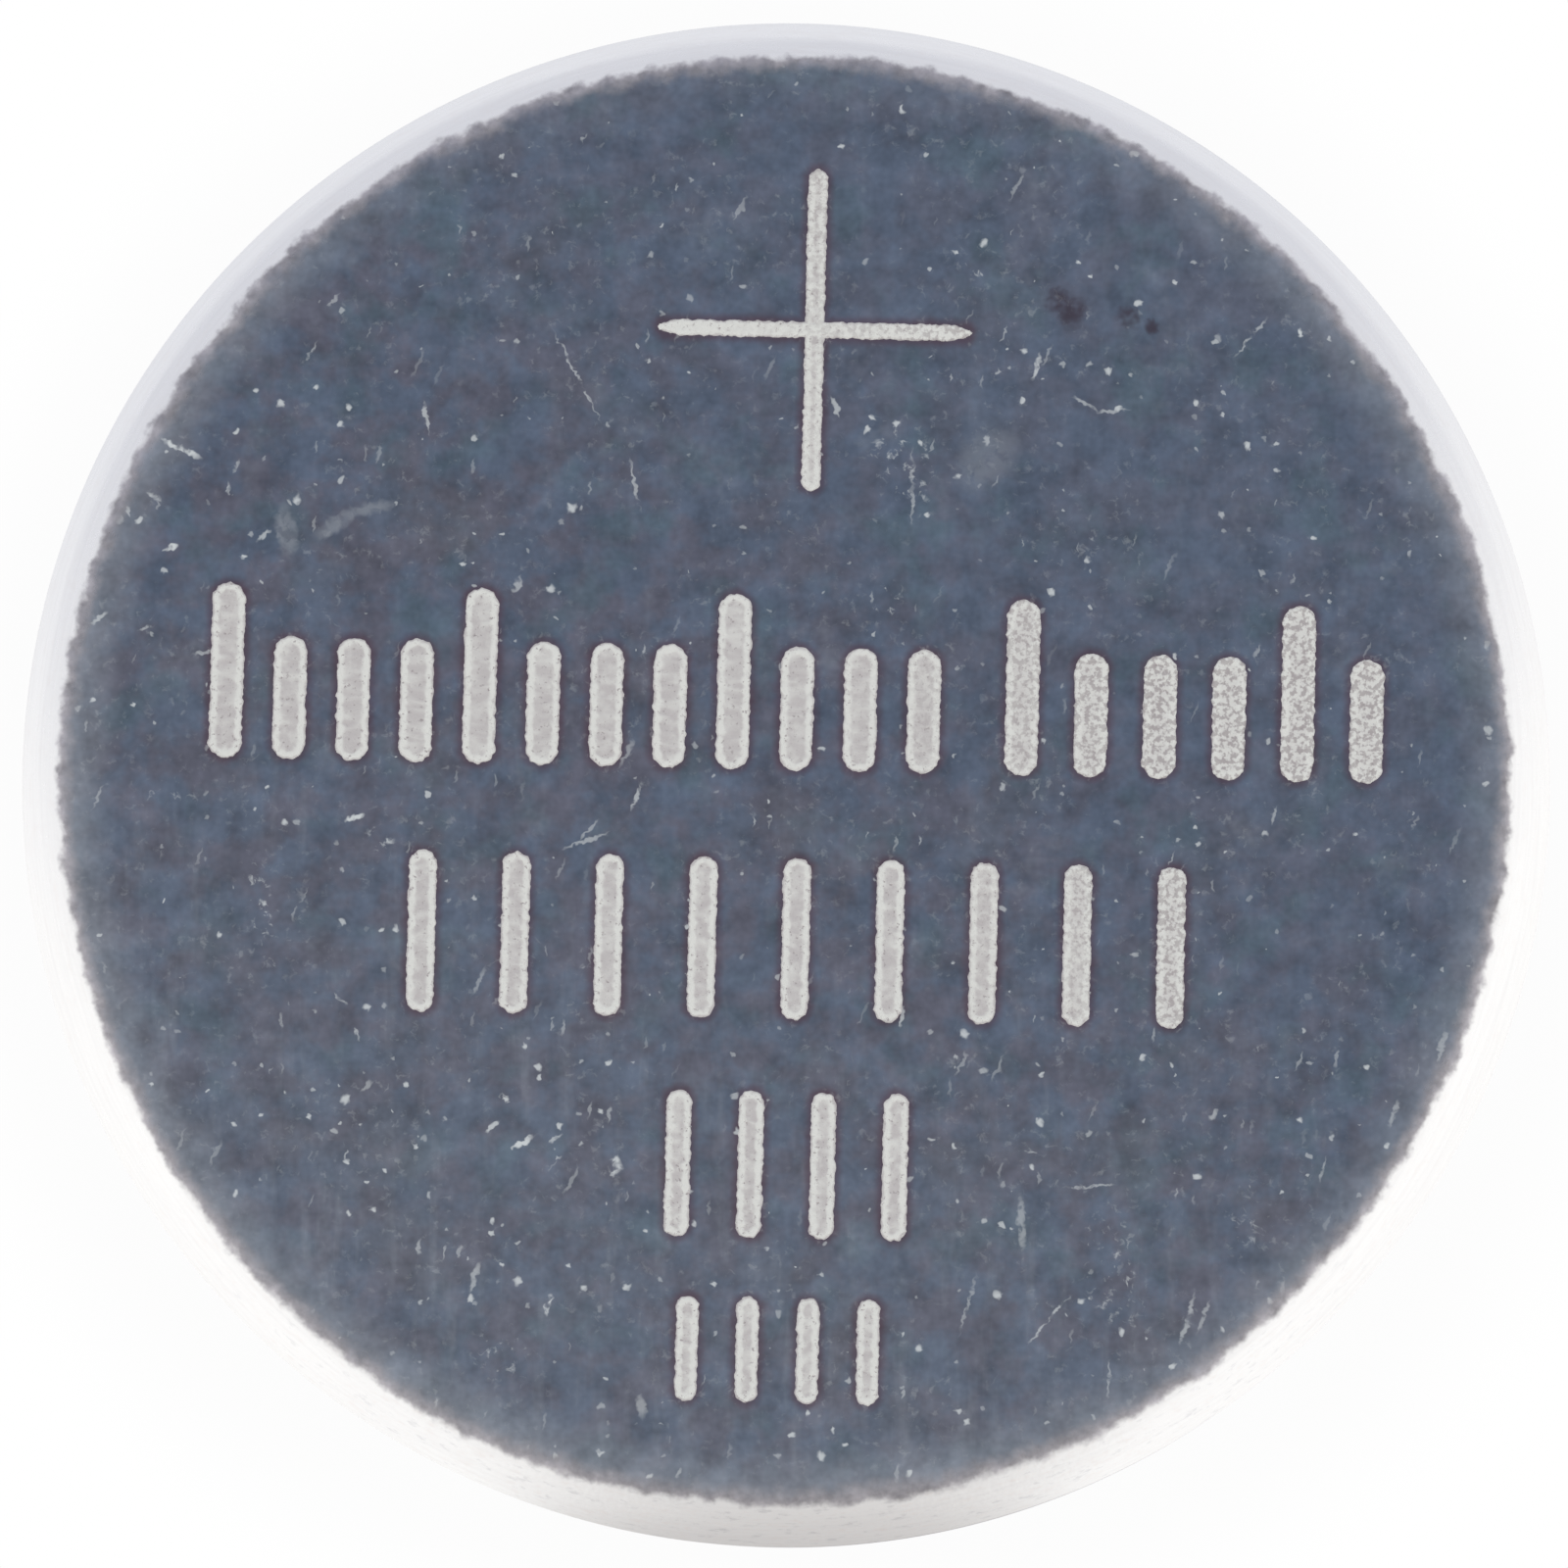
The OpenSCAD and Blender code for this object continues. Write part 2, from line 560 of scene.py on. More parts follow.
def pressed_section(height: float, wall: float, steps: list[Press], edge_r: float) -> SectionPen:
    """Draws the section of a pressed sheet that starts on the axis and heads outwards.

    Args:
        height: Height of the sheet's middle line on the axis.
        wall: Thickness of the sheet.
        steps: The runs and bends of its middle line.
        edge_r: Rounding of its cut edge.

    Returns:
        The section, open at the axis.
    """
    point = Vector((0.0, height))
    heading = Vector((1.0, 0.0))
    half = wall / 2
    back: list[tuple[Vector, Vector | None, float]] = []
    pen = SectionPen(point.x, point.y + half)
    for step in steps:
        left = Vector((-heading.y, heading.x))
        end = point + heading * step.run
        corner = pen.run_to(*(end + left * half))
        side = math.copysign(1.0, step.turn)
        centre = end + left * side * (step.inside_r + half)
        back.append((point - left * half, centre if step.turn else None, -step.turn))
        if step.turn:
            corner = pen.bend(*centre, step.turn)
            heading = Matrix.Rotation(math.radians(step.turn), 2) @ heading
            point = centre - Vector((-heading.y, heading.x)) * side * (step.inside_r + half)
        else:
            point = end
    left = Vector((-heading.y, heading.x))
    edge = [corner, pen.run_to(*(point - left * half))]
    for start, centre, turn in reversed(back):
        if centre:
            pen.bend(*centre, turn)
        pen.run_to(*start)
    pen.soften(edge, edge_r)
    return pen


def finish_piece(name: str, mesh: bmesh.types.BMesh, slot: Slot, material: bpy.types.Material,
                 replaced: str | None = None, crease: float = 40.0) -> bpy.types.Object:
    """Turns a mesh in millimetres into a piece of the cell.

    Args:
        name: The piece's name.
        mesh: Its mesh, which is freed.
        slot: The record's material slot.
        material: Its finish.
        replaced: The CAD node that it stands for.
        crease: The angle between faces, in degrees, past which an edge stays sharp.

    Returns:
        The new object.
    """
    bmesh.ops.scale(mesh, vec=(MM, MM, MM), verts=mesh.verts)
    data = bpy.data.meshes.new(name)
    mesh.to_mesh(data)
    mesh.free()
    data.materials.append(material)
    data.shade_smooth()
    data.set_sharp_from_angle(angle=math.radians(crease))
    piece = bpy.data.objects.new(name, data)
    bpy.context.scene.collection.objects.link(piece)
    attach(piece, BODY)
    if replaced:
        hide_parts(replaced)
    LOG.info("%s: %d faces, %s", name, len(data.polygons), slot.value)
    return piece


# The marking on the face

@dataclass(frozen=True)
class Area:
    """A rectangle of the face, in millimetres."""

    x0: float
    y0: float
    x1: float
    y1: float

    def meets(self, x0: float, y0: float, x1: float, y1: float, room: float) -> bool:
        """Whether a box, from one corner to the other, comes nearer to it than the room."""
        return (min(x0, x1) < self.x1 + room and max(x0, x1) > self.x0 - room
                and min(y0, y1) < self.y1 + room and max(y0, y1) > self.y0 - room)


@dataclass(frozen=True)
class Stroke:
    """One etched stroke of the marking: its middle, its length and width, and how it lies."""

    x: float
    y: float
    length: float
    width: float
    upright: bool = True
    point: float = 0.0

    def reaches(self, area: Area) -> bool:
        """Whether it or its halo touches that area."""
        long, wide = self.length / 2, self.width / 2
        across, up = (wide, long) if self.upright else (long, wide)
        return area.meets(self.x - across, self.y - up, self.x + across, self.y + up, LEANING)


@dataclass(frozen=True)
class BarRow:
    """A row of upright etched bars, side by side. Every fourth one may stand taller."""

    name: str
    left: float
    middle: float
    count: int
    pitch: float
    width: float
    height: float
    low_height: float

    def reaches(self, area: Area) -> bool:
        """Whether it or its halo touches that area."""
        right = self.left + (self.count - 1) * self.pitch
        return area.meets(self.left - self.width / 2, self.middle - self.height / 2,
                          right + self.width / 2, self.middle + self.height / 2, LEANING)

    def strokes(self) -> list[Stroke]:
        """The row's bars, which all stand on one line."""
        base = self.middle - self.height / 2
        tall = [self.height if place % 4 == 0 else self.low_height for place in range(self.count)]
        return [Stroke(self.left + place * self.pitch, base + height / 2, height, self.width)
                for place, height in enumerate(tall)]


@dataclass(frozen=True)
class Marking:
    """Where the marking lies on the face: a plus, and plain rows of bars under it."""

    lean: float = -1.4
    plus: tuple[Stroke, Stroke] = (Stroke(0.15, 3.36, 2.43, 0.147),
                                   Stroke(0.15, 3.36, 2.36, 0.125, upright=False, point=0.6))
    rows: tuple[BarRow, ...] = (
        BarRow("etched_bars_upper_left", -4.19, 0.70, 12, 0.475, 0.25, 1.32, 0.93),
        BarRow("etched_bars_upper_right", 1.77, 0.70, 6, 0.515, 0.25, 1.32, 0.93),
        BarRow("etched_bars_middle", -2.68, -1.22, 9, 0.700, 0.21, 1.21, 1.21),
        BarRow("etched_bars_lower", -0.72, -2.91, 4, 0.540, 0.19, 1.10, 1.10),
        BarRow("etched_bars_lowest", -0.62, -4.29, 4, 0.450, 0.17, 0.79, 0.79),
    )


@dataclass
class EtchedMarks:
    """The laser-etched marks: low crusts of melted steel, rough, with a bead along their edges."""

    sizes: CellSizes
    marking: Marking
    finish: "EtchedSteel"
    root: float = 0.012
    insets: tuple[tuple[float, float], ...] = ((0.010, 0.0050), (0.014, 0.0035), (0.020, -0.0010),
                                               (0.020, -0.0030), (0.016, -0.0005))
    outline_step: float = 0.017
    ragged: float = 0.014
    grain: float = 0.0030
    beads: float = 26.0
    seed: int = 7

    def build(self) -> None:
        """Builds the plus and each row of bars as a piece of its own."""
        noise.seed_set(self.seed)
        material = self.finish.make(self.sizes)
        groups = {"etched_plus": self.marking.plus}
        groups.update({row.name: row.strokes() for row in self.marking.rows})
        for name, strokes in groups.items():
            mesh = bmesh.new()
            for stroke in strokes:
                self.relief(mesh, self.outline(mesh, stroke), stroke.width / 2)
            self.roughen(mesh)
            bmesh.ops.translate(mesh, vec=(0.0, 0.0, self.sizes.cell_h - self.root), verts=mesh.verts)
            bmesh.ops.recalc_face_normals(mesh, faces=mesh.faces)
            finish_piece(name, mesh, Slot.CAN, material, crease=75.0)

    def outline(self, mesh: bmesh.types.BMesh, stroke: Stroke) -> bmesh.types.BMFace:
        """Draws a stroke's round-ended or pointed outline in its place.

        Args:
            mesh: The mesh that takes it.
            stroke: Its place and size.

        Returns:
            The flat face inside the outline.
        """
        radius = stroke.width / 2
        straight = stroke.length / 2 - radius
        segments = 4 * max(3, round(math.pi * radius / self.outline_step / 2)) + 2
        circle = bmesh.ops.create_circle(mesh, cap_ends=True, segments=segments, radius=radius)["verts"]
        for vert in circle:
            vert.co.x += math.copysign(straight, vert.co.x)
        sides = [edge for edge in circle[0].link_faces[0].edges if edge.calc_length() > straight]
        cut = bmesh.ops.bisect_edges(mesh, edges=sides, cuts=round(2 * straight / self.outline_step))
        foot = next(item for item in cut["geom_split"] if isinstance(item, bmesh.types.BMVert)).link_faces[0]
        for vert in foot.verts:
            end = max(0.0, (abs(vert.co.x) / (stroke.length / 2) - 0.86) / 0.14)
            vert.co.y *= 1 - stroke.point * end
        about = Matrix.Rotation(math.radians(90.0 if stroke.upright else 0.0), 4, "Z")
        lean = Matrix.Rotation(math.radians(self.marking.lean), 4, "Z")
        lie = lean @ Matrix.Translation((stroke.x, stroke.y, 0.0)) @ about
        bmesh.ops.transform(mesh, verts=list(foot.verts), matrix=lie)
        return foot

    def relief(self, mesh: bmesh.types.BMesh, foot: bmesh.types.BMFace, radius: float) -> None:
        """Raises an outline into a low crust with a bead along its edge.

        Args:
            mesh: The mesh that holds it.
            foot: The face that the outline bounds.
            radius: Half of the stroke's width.
        """
        grown = bmesh.ops.extrude_face_region(mesh, geom=[foot], use_keep_orig=True)["geom"]
        top = next(item for item in grown if isinstance(item, bmesh.types.BMFace))
        bmesh.ops.translate(mesh, vec=(0.0, 0.0, self.root), verts=list(top.verts))
        room = 0.88 * radius
        for width, rise in self.insets:
            if width >= room:
                break
            room -= width
            bmesh.ops.inset_individual(mesh, faces=[top], thickness=width, depth=0.0, use_even_offset=False)
            for vert in top.verts:
                vert.co.z += rise
        bmesh.ops.triangulate(mesh, faces=[top])

    def roughen(self, mesh: bmesh.types.BMesh) -> None:
        """Makes the marks' edges ragged and their tops grainy."""
        for vert in mesh.verts:
            bead = noise.noise_vector(vert.co * self.beads)
            raised = vert.co.z > self.root
            vert.co += Vector((self.ragged * bead.x, self.ragged * bead.y, self.grain * bead.z * raised))


# Finishes

@dataclass(frozen=True)
class Scratch:
    """A scratch on the face: its two ends, its width, and how bright it is."""

    x0: float
    y0: float
    x1: float
    y1: float
    width: float = 0.03
    strength: float = 0.6

    def reaches(self, area: Area) -> bool:
        """Whether it touches that area."""
        return area.meets(self.x0, self.y0, self.x1, self.y1, self.width / 2 + SHAKEN)

    def shares(self) -> tuple[Vector, Vector]:
        """What x, y and 1 are multiplied by to give the place along it and beside it, 1 at its edge."""
        start, end = Vector((self.x0, self.y0)), Vector((self.x1, self.y1))
        half, middle = (end - start) / 2, (start + end) / 2
        along = half / half.length_squared
        beside = Vector((-half.y, half.x)).normalized() / (self.width / 2)
        return Vector((*along, -along.dot(middle))), Vector((*beside, -beside.dot(middle)))


@dataclass(frozen=True)
class Fleck:
    """A small round dent or spot on the face: its middle, its radius, and how strong it is."""

    x: float
    y: float
    r: float
    strength: float = 1.0

    def reaches(self, area: Area) -> bool:
        """Whether it touches that area."""
        return area.meets(self.x, self.y, self.x, self.y, self.r + SHAKEN)

    def shares(self) -> tuple[Vector, Vector]:
        """What x, y and 1 are multiplied by to give the place across it and up it, 1 at its edge."""
        return Vector((1, 0, -self.x)) / self.r, Vector((0, 1, -self.y)) / self.r


@dataclass(frozen=True)
class FacePatch:
    """The can's flat face, painted dark as a reflection of the dim space overhead, with its marks of wear,
    and the bright steel round it.
    """

    edge_r: float = 5.40
    # blue, violet, teal and umber: the flat face's painted dark reflection of the dim space overhead; the
    # steel there is as bright as the rim
    blue: Colour = srgb(107, 120, 142)
    violet: Colour = srgb(113, 115, 132)
    teal: Colour = srgb(103, 123, 139)
    umber: Colour = srgb(116, 117, 127)
    # A lighter film on the face in its smudges, and also the painted sheen towards the front and round the
    # face's edge
    haze_and_sheen: Colour = srgb(156, 163, 175)
    # Painted grey where the reflection changes from the dark face to the bright corner
    fringe: Colour = srgb(176, 173, 179)
    burnt: Colour = srgb(98, 62, 74)
    soot: Colour = srgb(80, 73, 86)
    chalk: Colour = srgb(226, 232, 234)
    scratches: tuple[Scratch, ...] = (
        Scratch(-4.70, 2.55, -4.35, 2.40, 0.046, 0.95), Scratch(-4.66, 1.69, -4.54, 1.75, 0.060, 0.95),
        Scratch(-4.81, 2.16, -4.66, 2.07, 0.044, 0.6), Scratch(-4.92, 2.05, -4.92, 1.95, 0.036, 0.6),
        Scratch(-5.21, 1.14, -5.06, 1.25, 0.044, 0.6), Scratch(-4.85, 1.08, -4.67, 1.18, 0.036, 0.5),
        Scratch(-4.42, 0.91, -4.27, 0.97, 0.034, 0.5), Scratch(-4.17, 2.22, -4.16, 2.11, 0.040, 0.75),
        Scratch(-4.15, 2.27, -4.08, 2.41, 0.036, 0.4), Scratch(-3.96, 1.76, -3.84, 1.87, 0.050, 0.6),
        Scratch(-3.44, 3.53, -3.33, 3.65, 0.030, 0.4), Scratch(-3.63, 3.10, -3.49, 3.29, 0.030, 0.4),
        Scratch(-2.71, 2.84, -2.66, 2.56, 0.034, 0.6), Scratch(-1.75, 3.40, -1.35, 2.62, 0.026, 0.5),
        Scratch(-1.16, 2.40, -1.07, 1.97, 0.032, 0.5), Scratch(-2.02, 1.38, -1.97, 1.51, 0.050, 0.5),
        Scratch(-3.30, -0.33, -3.13, -0.29, 0.060, 0.95), Scratch(-1.15, -0.28, -1.05, -0.03, 0.042, 0.6),
        Scratch(-1.67, -0.55, -1.28, -0.41, 0.036, 0.5), Scratch(-1.54, -0.49, -1.37, -0.32, 0.028, 0.4),
        Scratch(-3.35, -1.62, -3.27, -1.72, 0.036, 0.5), Scratch(-3.20, -1.87, -3.17, -1.99, 0.040, 0.6),
        Scratch(-3.76, -1.76, -3.75, -1.90, 0.038, 0.4), Scratch(-4.96, -1.93, -4.90, -1.88, 0.044, 0.5),
        Scratch(-3.18, -2.37, -3.05, -2.27, 0.044, 0.4), Scratch(-3.18, -2.58, -3.13, -2.65, 0.036, 0.6),
        Scratch(-2.06, -2.81, -1.83, -2.67, 0.056, 0.95), Scratch(-2.24, -2.67, -2.11, -2.58, 0.046, 0.75),
        Scratch(-1.76, -2.75, -1.66, -2.68, 0.046, 0.6), Scratch(-1.72, -2.86, -1.65, -2.86, 0.034, 0.5),
        Scratch(-1.285, -3.00, -1.235, -2.84, 0.105, 0.95), Scratch(-2.27, -3.62, -2.35, -3.88, 0.060, 0.5),
        Scratch(-1.73, -3.86, -1.78, -4.03, 0.060, 0.95), Scratch(-1.39, -5.07, -1.32, -5.02, 0.042, 0.75),
        Scratch(-1.08, -4.61, -1.04, -4.80, 0.090, 0.4), Scratch(-0.80, -5.25, -0.76, -5.15, 0.036, 0.4),
        Scratch(0.36, 2.86, 0.42, 2.69, 0.038, 0.6), Scratch(0.97, 2.50, 0.96, 1.85, 0.040, 0.4),
        Scratch(1.93, 3.18, 1.86, 2.95, 0.044, 0.75), Scratch(2.15, 2.86, 2.37, 2.73, 0.036, 0.5),
        Scratch(2.33, 2.73, 2.61, 2.75, 0.034, 0.5), Scratch(3.36, 3.13, 3.64, 3.45, 0.028, 0.5),
        Scratch(3.19, 3.25, 3.27, 3.25, 0.034, 0.6), Scratch(3.86, 3.37, 3.89, 3.28, 0.048, 0.95),
        Scratch(2.59, 4.69, 2.69, 4.68, 0.052, 0.75), Scratch(1.53, 2.58, 1.51, 2.46, 0.050, 0.5),
        Scratch(0.89, -1.70, 0.87, -1.90, 0.042, 0.6), Scratch(1.44, -2.20, 1.53, -2.20, 0.042, 0.5),
        Scratch(1.77, -2.82, 1.89, -2.82, 0.030, 0.5), Scratch(2.06, -3.09, 2.50, -3.06, 0.030, 0.5),
        Scratch(1.76, -3.10, 1.78, -3.57, 0.080, 0.4), Scratch(1.44, -3.70, 1.30, -4.20, 0.034, 0.4),
        Scratch(1.79, -4.26, 2.15, -3.88, 0.032, 0.6), Scratch(2.94, -4.28, 3.07, -3.85, 0.044, 0.5),
        Scratch(3.07, -4.19, 3.18, -3.90, 0.036, 0.4), Scratch(4.50, -2.65, 4.59, -2.41, 0.044, 0.4),
        Scratch(4.94, -1.88, 4.85, -2.23, 0.052, 0.4), Scratch(3.15, -2.58, 3.24, -2.50, 0.056, 0.5),
        Scratch(4.05, -2.84, 3.98, -3.05, 0.028, 0.4), Scratch(2.42, -4.34, 2.41, -4.66, 0.028, 0.4),
    )
    smudges: tuple[Scratch, ...] = (
        Scratch(-3.76, 2.08, -3.70, 1.62, 0.20, 0.9), Scratch(-3.54, 1.79, -3.17, 2.03, 0.16, 0.9),
        Scratch(-3.30, 1.98, -2.88, 2.06, 0.13, 0.8), Scratch(1.30, 2.10, 1.75, 2.70, 0.50, 0.45),
    )
    stains: tuple[Fleck, ...] = (
        Fleck(2.05, 3.57, 0.13), Fleck(2.16, 3.49, 0.15), Fleck(2.58, 3.43, 0.13), Fleck(2.76, 3.37, 0.08),
    )
    scuffs: tuple[Scratch, ...] = (
        Scratch(0.72, 2.80, 1.05, 1.85, 0.60, 0.7), Scratch(0.66, 1.50, 0.86, 1.18, 0.32, 0.8),
        Scratch(-4.02, -0.40, -3.79, -1.55, 0.24, 0.8), Scratch(-3.08, -0.33, -2.93, -0.64, 0.24, 0.8),
        Scratch(-2.07, -2.28, -2.03, -2.64, 0.18, 0.9), Scratch(-2.30, -4.10, -1.90, -4.50, 0.55, 0.6),
        Scratch(2.30, -3.00, 2.60, -4.35, 0.55, 0.6), Scratch(3.20, -3.40, 3.65, -3.30, 0.45, 0.5),
        Scratch(1.30, 3.83, 1.52, 3.79, 0.12, 0.8), Scratch(-4.90, -0.02, -4.35, -0.20, 0.34, 0.5),
    )
    flecks: tuple[Fleck, ...] = (
        Fleck(-3.77, 2.81, 0.038), Fleck(-3.27, 2.78, 0.033), Fleck(-3.32, 2.66, 0.033),
        Fleck(-3.96, 2.91, 0.028), Fleck(-3.51, 2.93, 0.028), Fleck(-4.11, 2.60, 0.028),
        Fleck(-4.84, 1.93, 0.033), Fleck(-3.65, 2.09, 0.038), Fleck(-4.04, 1.65, 0.033),
        Fleck(-4.88, 0.54, 0.028), Fleck(-5.19, 0.58, 0.028), Fleck(-2.40, 1.59, 0.033),
        Fleck(-1.75, 1.41, 0.046), Fleck(-1.59, 2.02, 0.046), Fleck(-3.74, -0.34, 0.033),
        Fleck(-3.87, -0.08, 0.028), Fleck(-4.22, -1.19, 0.033), Fleck(-2.90, -1.14, 0.033),
        Fleck(-3.01, -1.15, 0.024), Fleck(-3.12, -1.74, 0.033), Fleck(-4.73, -2.31, 0.028),
        Fleck(-4.10, -2.60, 0.028), Fleck(-3.55, -2.55, 0.028), Fleck(-3.27, -2.42, 0.046),
        Fleck(-2.82, -2.31, 0.033), Fleck(-1.94, -2.02, 0.028), Fleck(-1.84, -2.18, 0.033),
        Fleck(-1.82, -2.25, 0.028), Fleck(-1.31, -2.15, 0.038), Fleck(-1.36, -2.50, 0.028),
        Fleck(-1.67, -2.61, 0.033), Fleck(-2.74, -2.77, 0.028), Fleck(-3.26, -2.88, 0.024),
        Fleck(-2.97, -2.95, 0.024), Fleck(-4.09, -3.11, 0.028), Fleck(-3.24, -3.26, 0.028),
        Fleck(-3.06, -3.24, 0.028), Fleck(-2.17, -3.33, 0.028), Fleck(-2.17, -3.42, 0.024),
        Fleck(-0.87, -3.33, 0.028), Fleck(-1.03, -3.40, 0.024), Fleck(-2.10, -3.66, 0.028),
        Fleck(-2.33, -3.90, 0.038), Fleck(-1.98, -3.77, 0.038), Fleck(-1.60, -3.67, 0.028),
        Fleck(-1.49, -3.83, 0.028), Fleck(-1.16, -3.81, 0.038), Fleck(-0.52, -3.80, 0.028),
        Fleck(-1.70, -5.07, 0.033), Fleck(-1.00, -5.22, 0.028), Fleck(0.06, -4.92, 0.033),
        Fleck(0.18, -4.75, 0.028), Fleck(0.36, -4.89, 0.028), Fleck(0.46, -4.99, 0.028),
        Fleck(0.28, -5.07, 0.038), Fleck(0.93, -5.21, 0.033), Fleck(1.00, -4.27, 0.038),
        Fleck(1.36, -4.82, 0.033), Fleck(1.60, -3.87, 0.046), Fleck(1.85, -2.93, 0.028),
        Fleck(1.91, -2.59, 0.038), Fleck(1.35, -1.94, 0.046), Fleck(1.92, -2.24, 0.028),
        Fleck(2.68, -2.12, 0.038), Fleck(3.08, -3.00, 0.038), Fleck(3.85, -2.57, 0.028),
        Fleck(4.34, -2.19, 0.028), Fleck(4.49, -2.78, 0.028), Fleck(2.22, -3.92, 0.028),
        Fleck(2.52, -4.15, 0.028), Fleck(2.90, -4.41, 0.033), Fleck(3.62, -3.93, 0.028),
        Fleck(0.66, 2.69, 0.033), Fleck(0.63, 2.60, 0.038), Fleck(0.84, 2.64, 0.038),
        Fleck(1.02, 2.50, 0.033), Fleck(1.08, 1.96, 0.028), Fleck(2.00, 1.38, 0.033),
        Fleck(2.43, 3.04, 0.033), Fleck(1.80, 3.19, 0.028), Fleck(1.79, 2.81, 0.028),
        Fleck(2.51, 2.76, 0.033), Fleck(2.66, 3.54, 0.038), Fleck(2.30, 3.76, 0.028),
        Fleck(2.21, 3.86, 0.024), Fleck(2.94, 3.71, 0.024), Fleck(1.50, 4.01, 0.038),
        Fleck(1.29, 3.94, 0.028), Fleck(0.44, 4.74, 0.028), Fleck(0.89, 5.02, 0.028),
        Fleck(3.47, 2.48, 0.033), Fleck(3.09, 2.80, 0.028), Fleck(3.97, 1.79, 0.028),
    )


@dataclass(frozen=True)
class WornFaceAndReflection:
    """What the parts of the face share: places, the colour with its painted dark reflection and sheen, and
    where each kind of wear may show.

    The fields across and up hold the shaken x and y three times over, for three marks at once.
    """

    x: Field
    y: Field
    level: tuple[Field, Field]
    across: Field
    up: Field
    normal: Field
    crowd: Field
    colour: Field
    rough: Field
    patchy: Field
    blotted: Field
    specks: Field
    grit: Field
    broken: Field
    frayed: Field


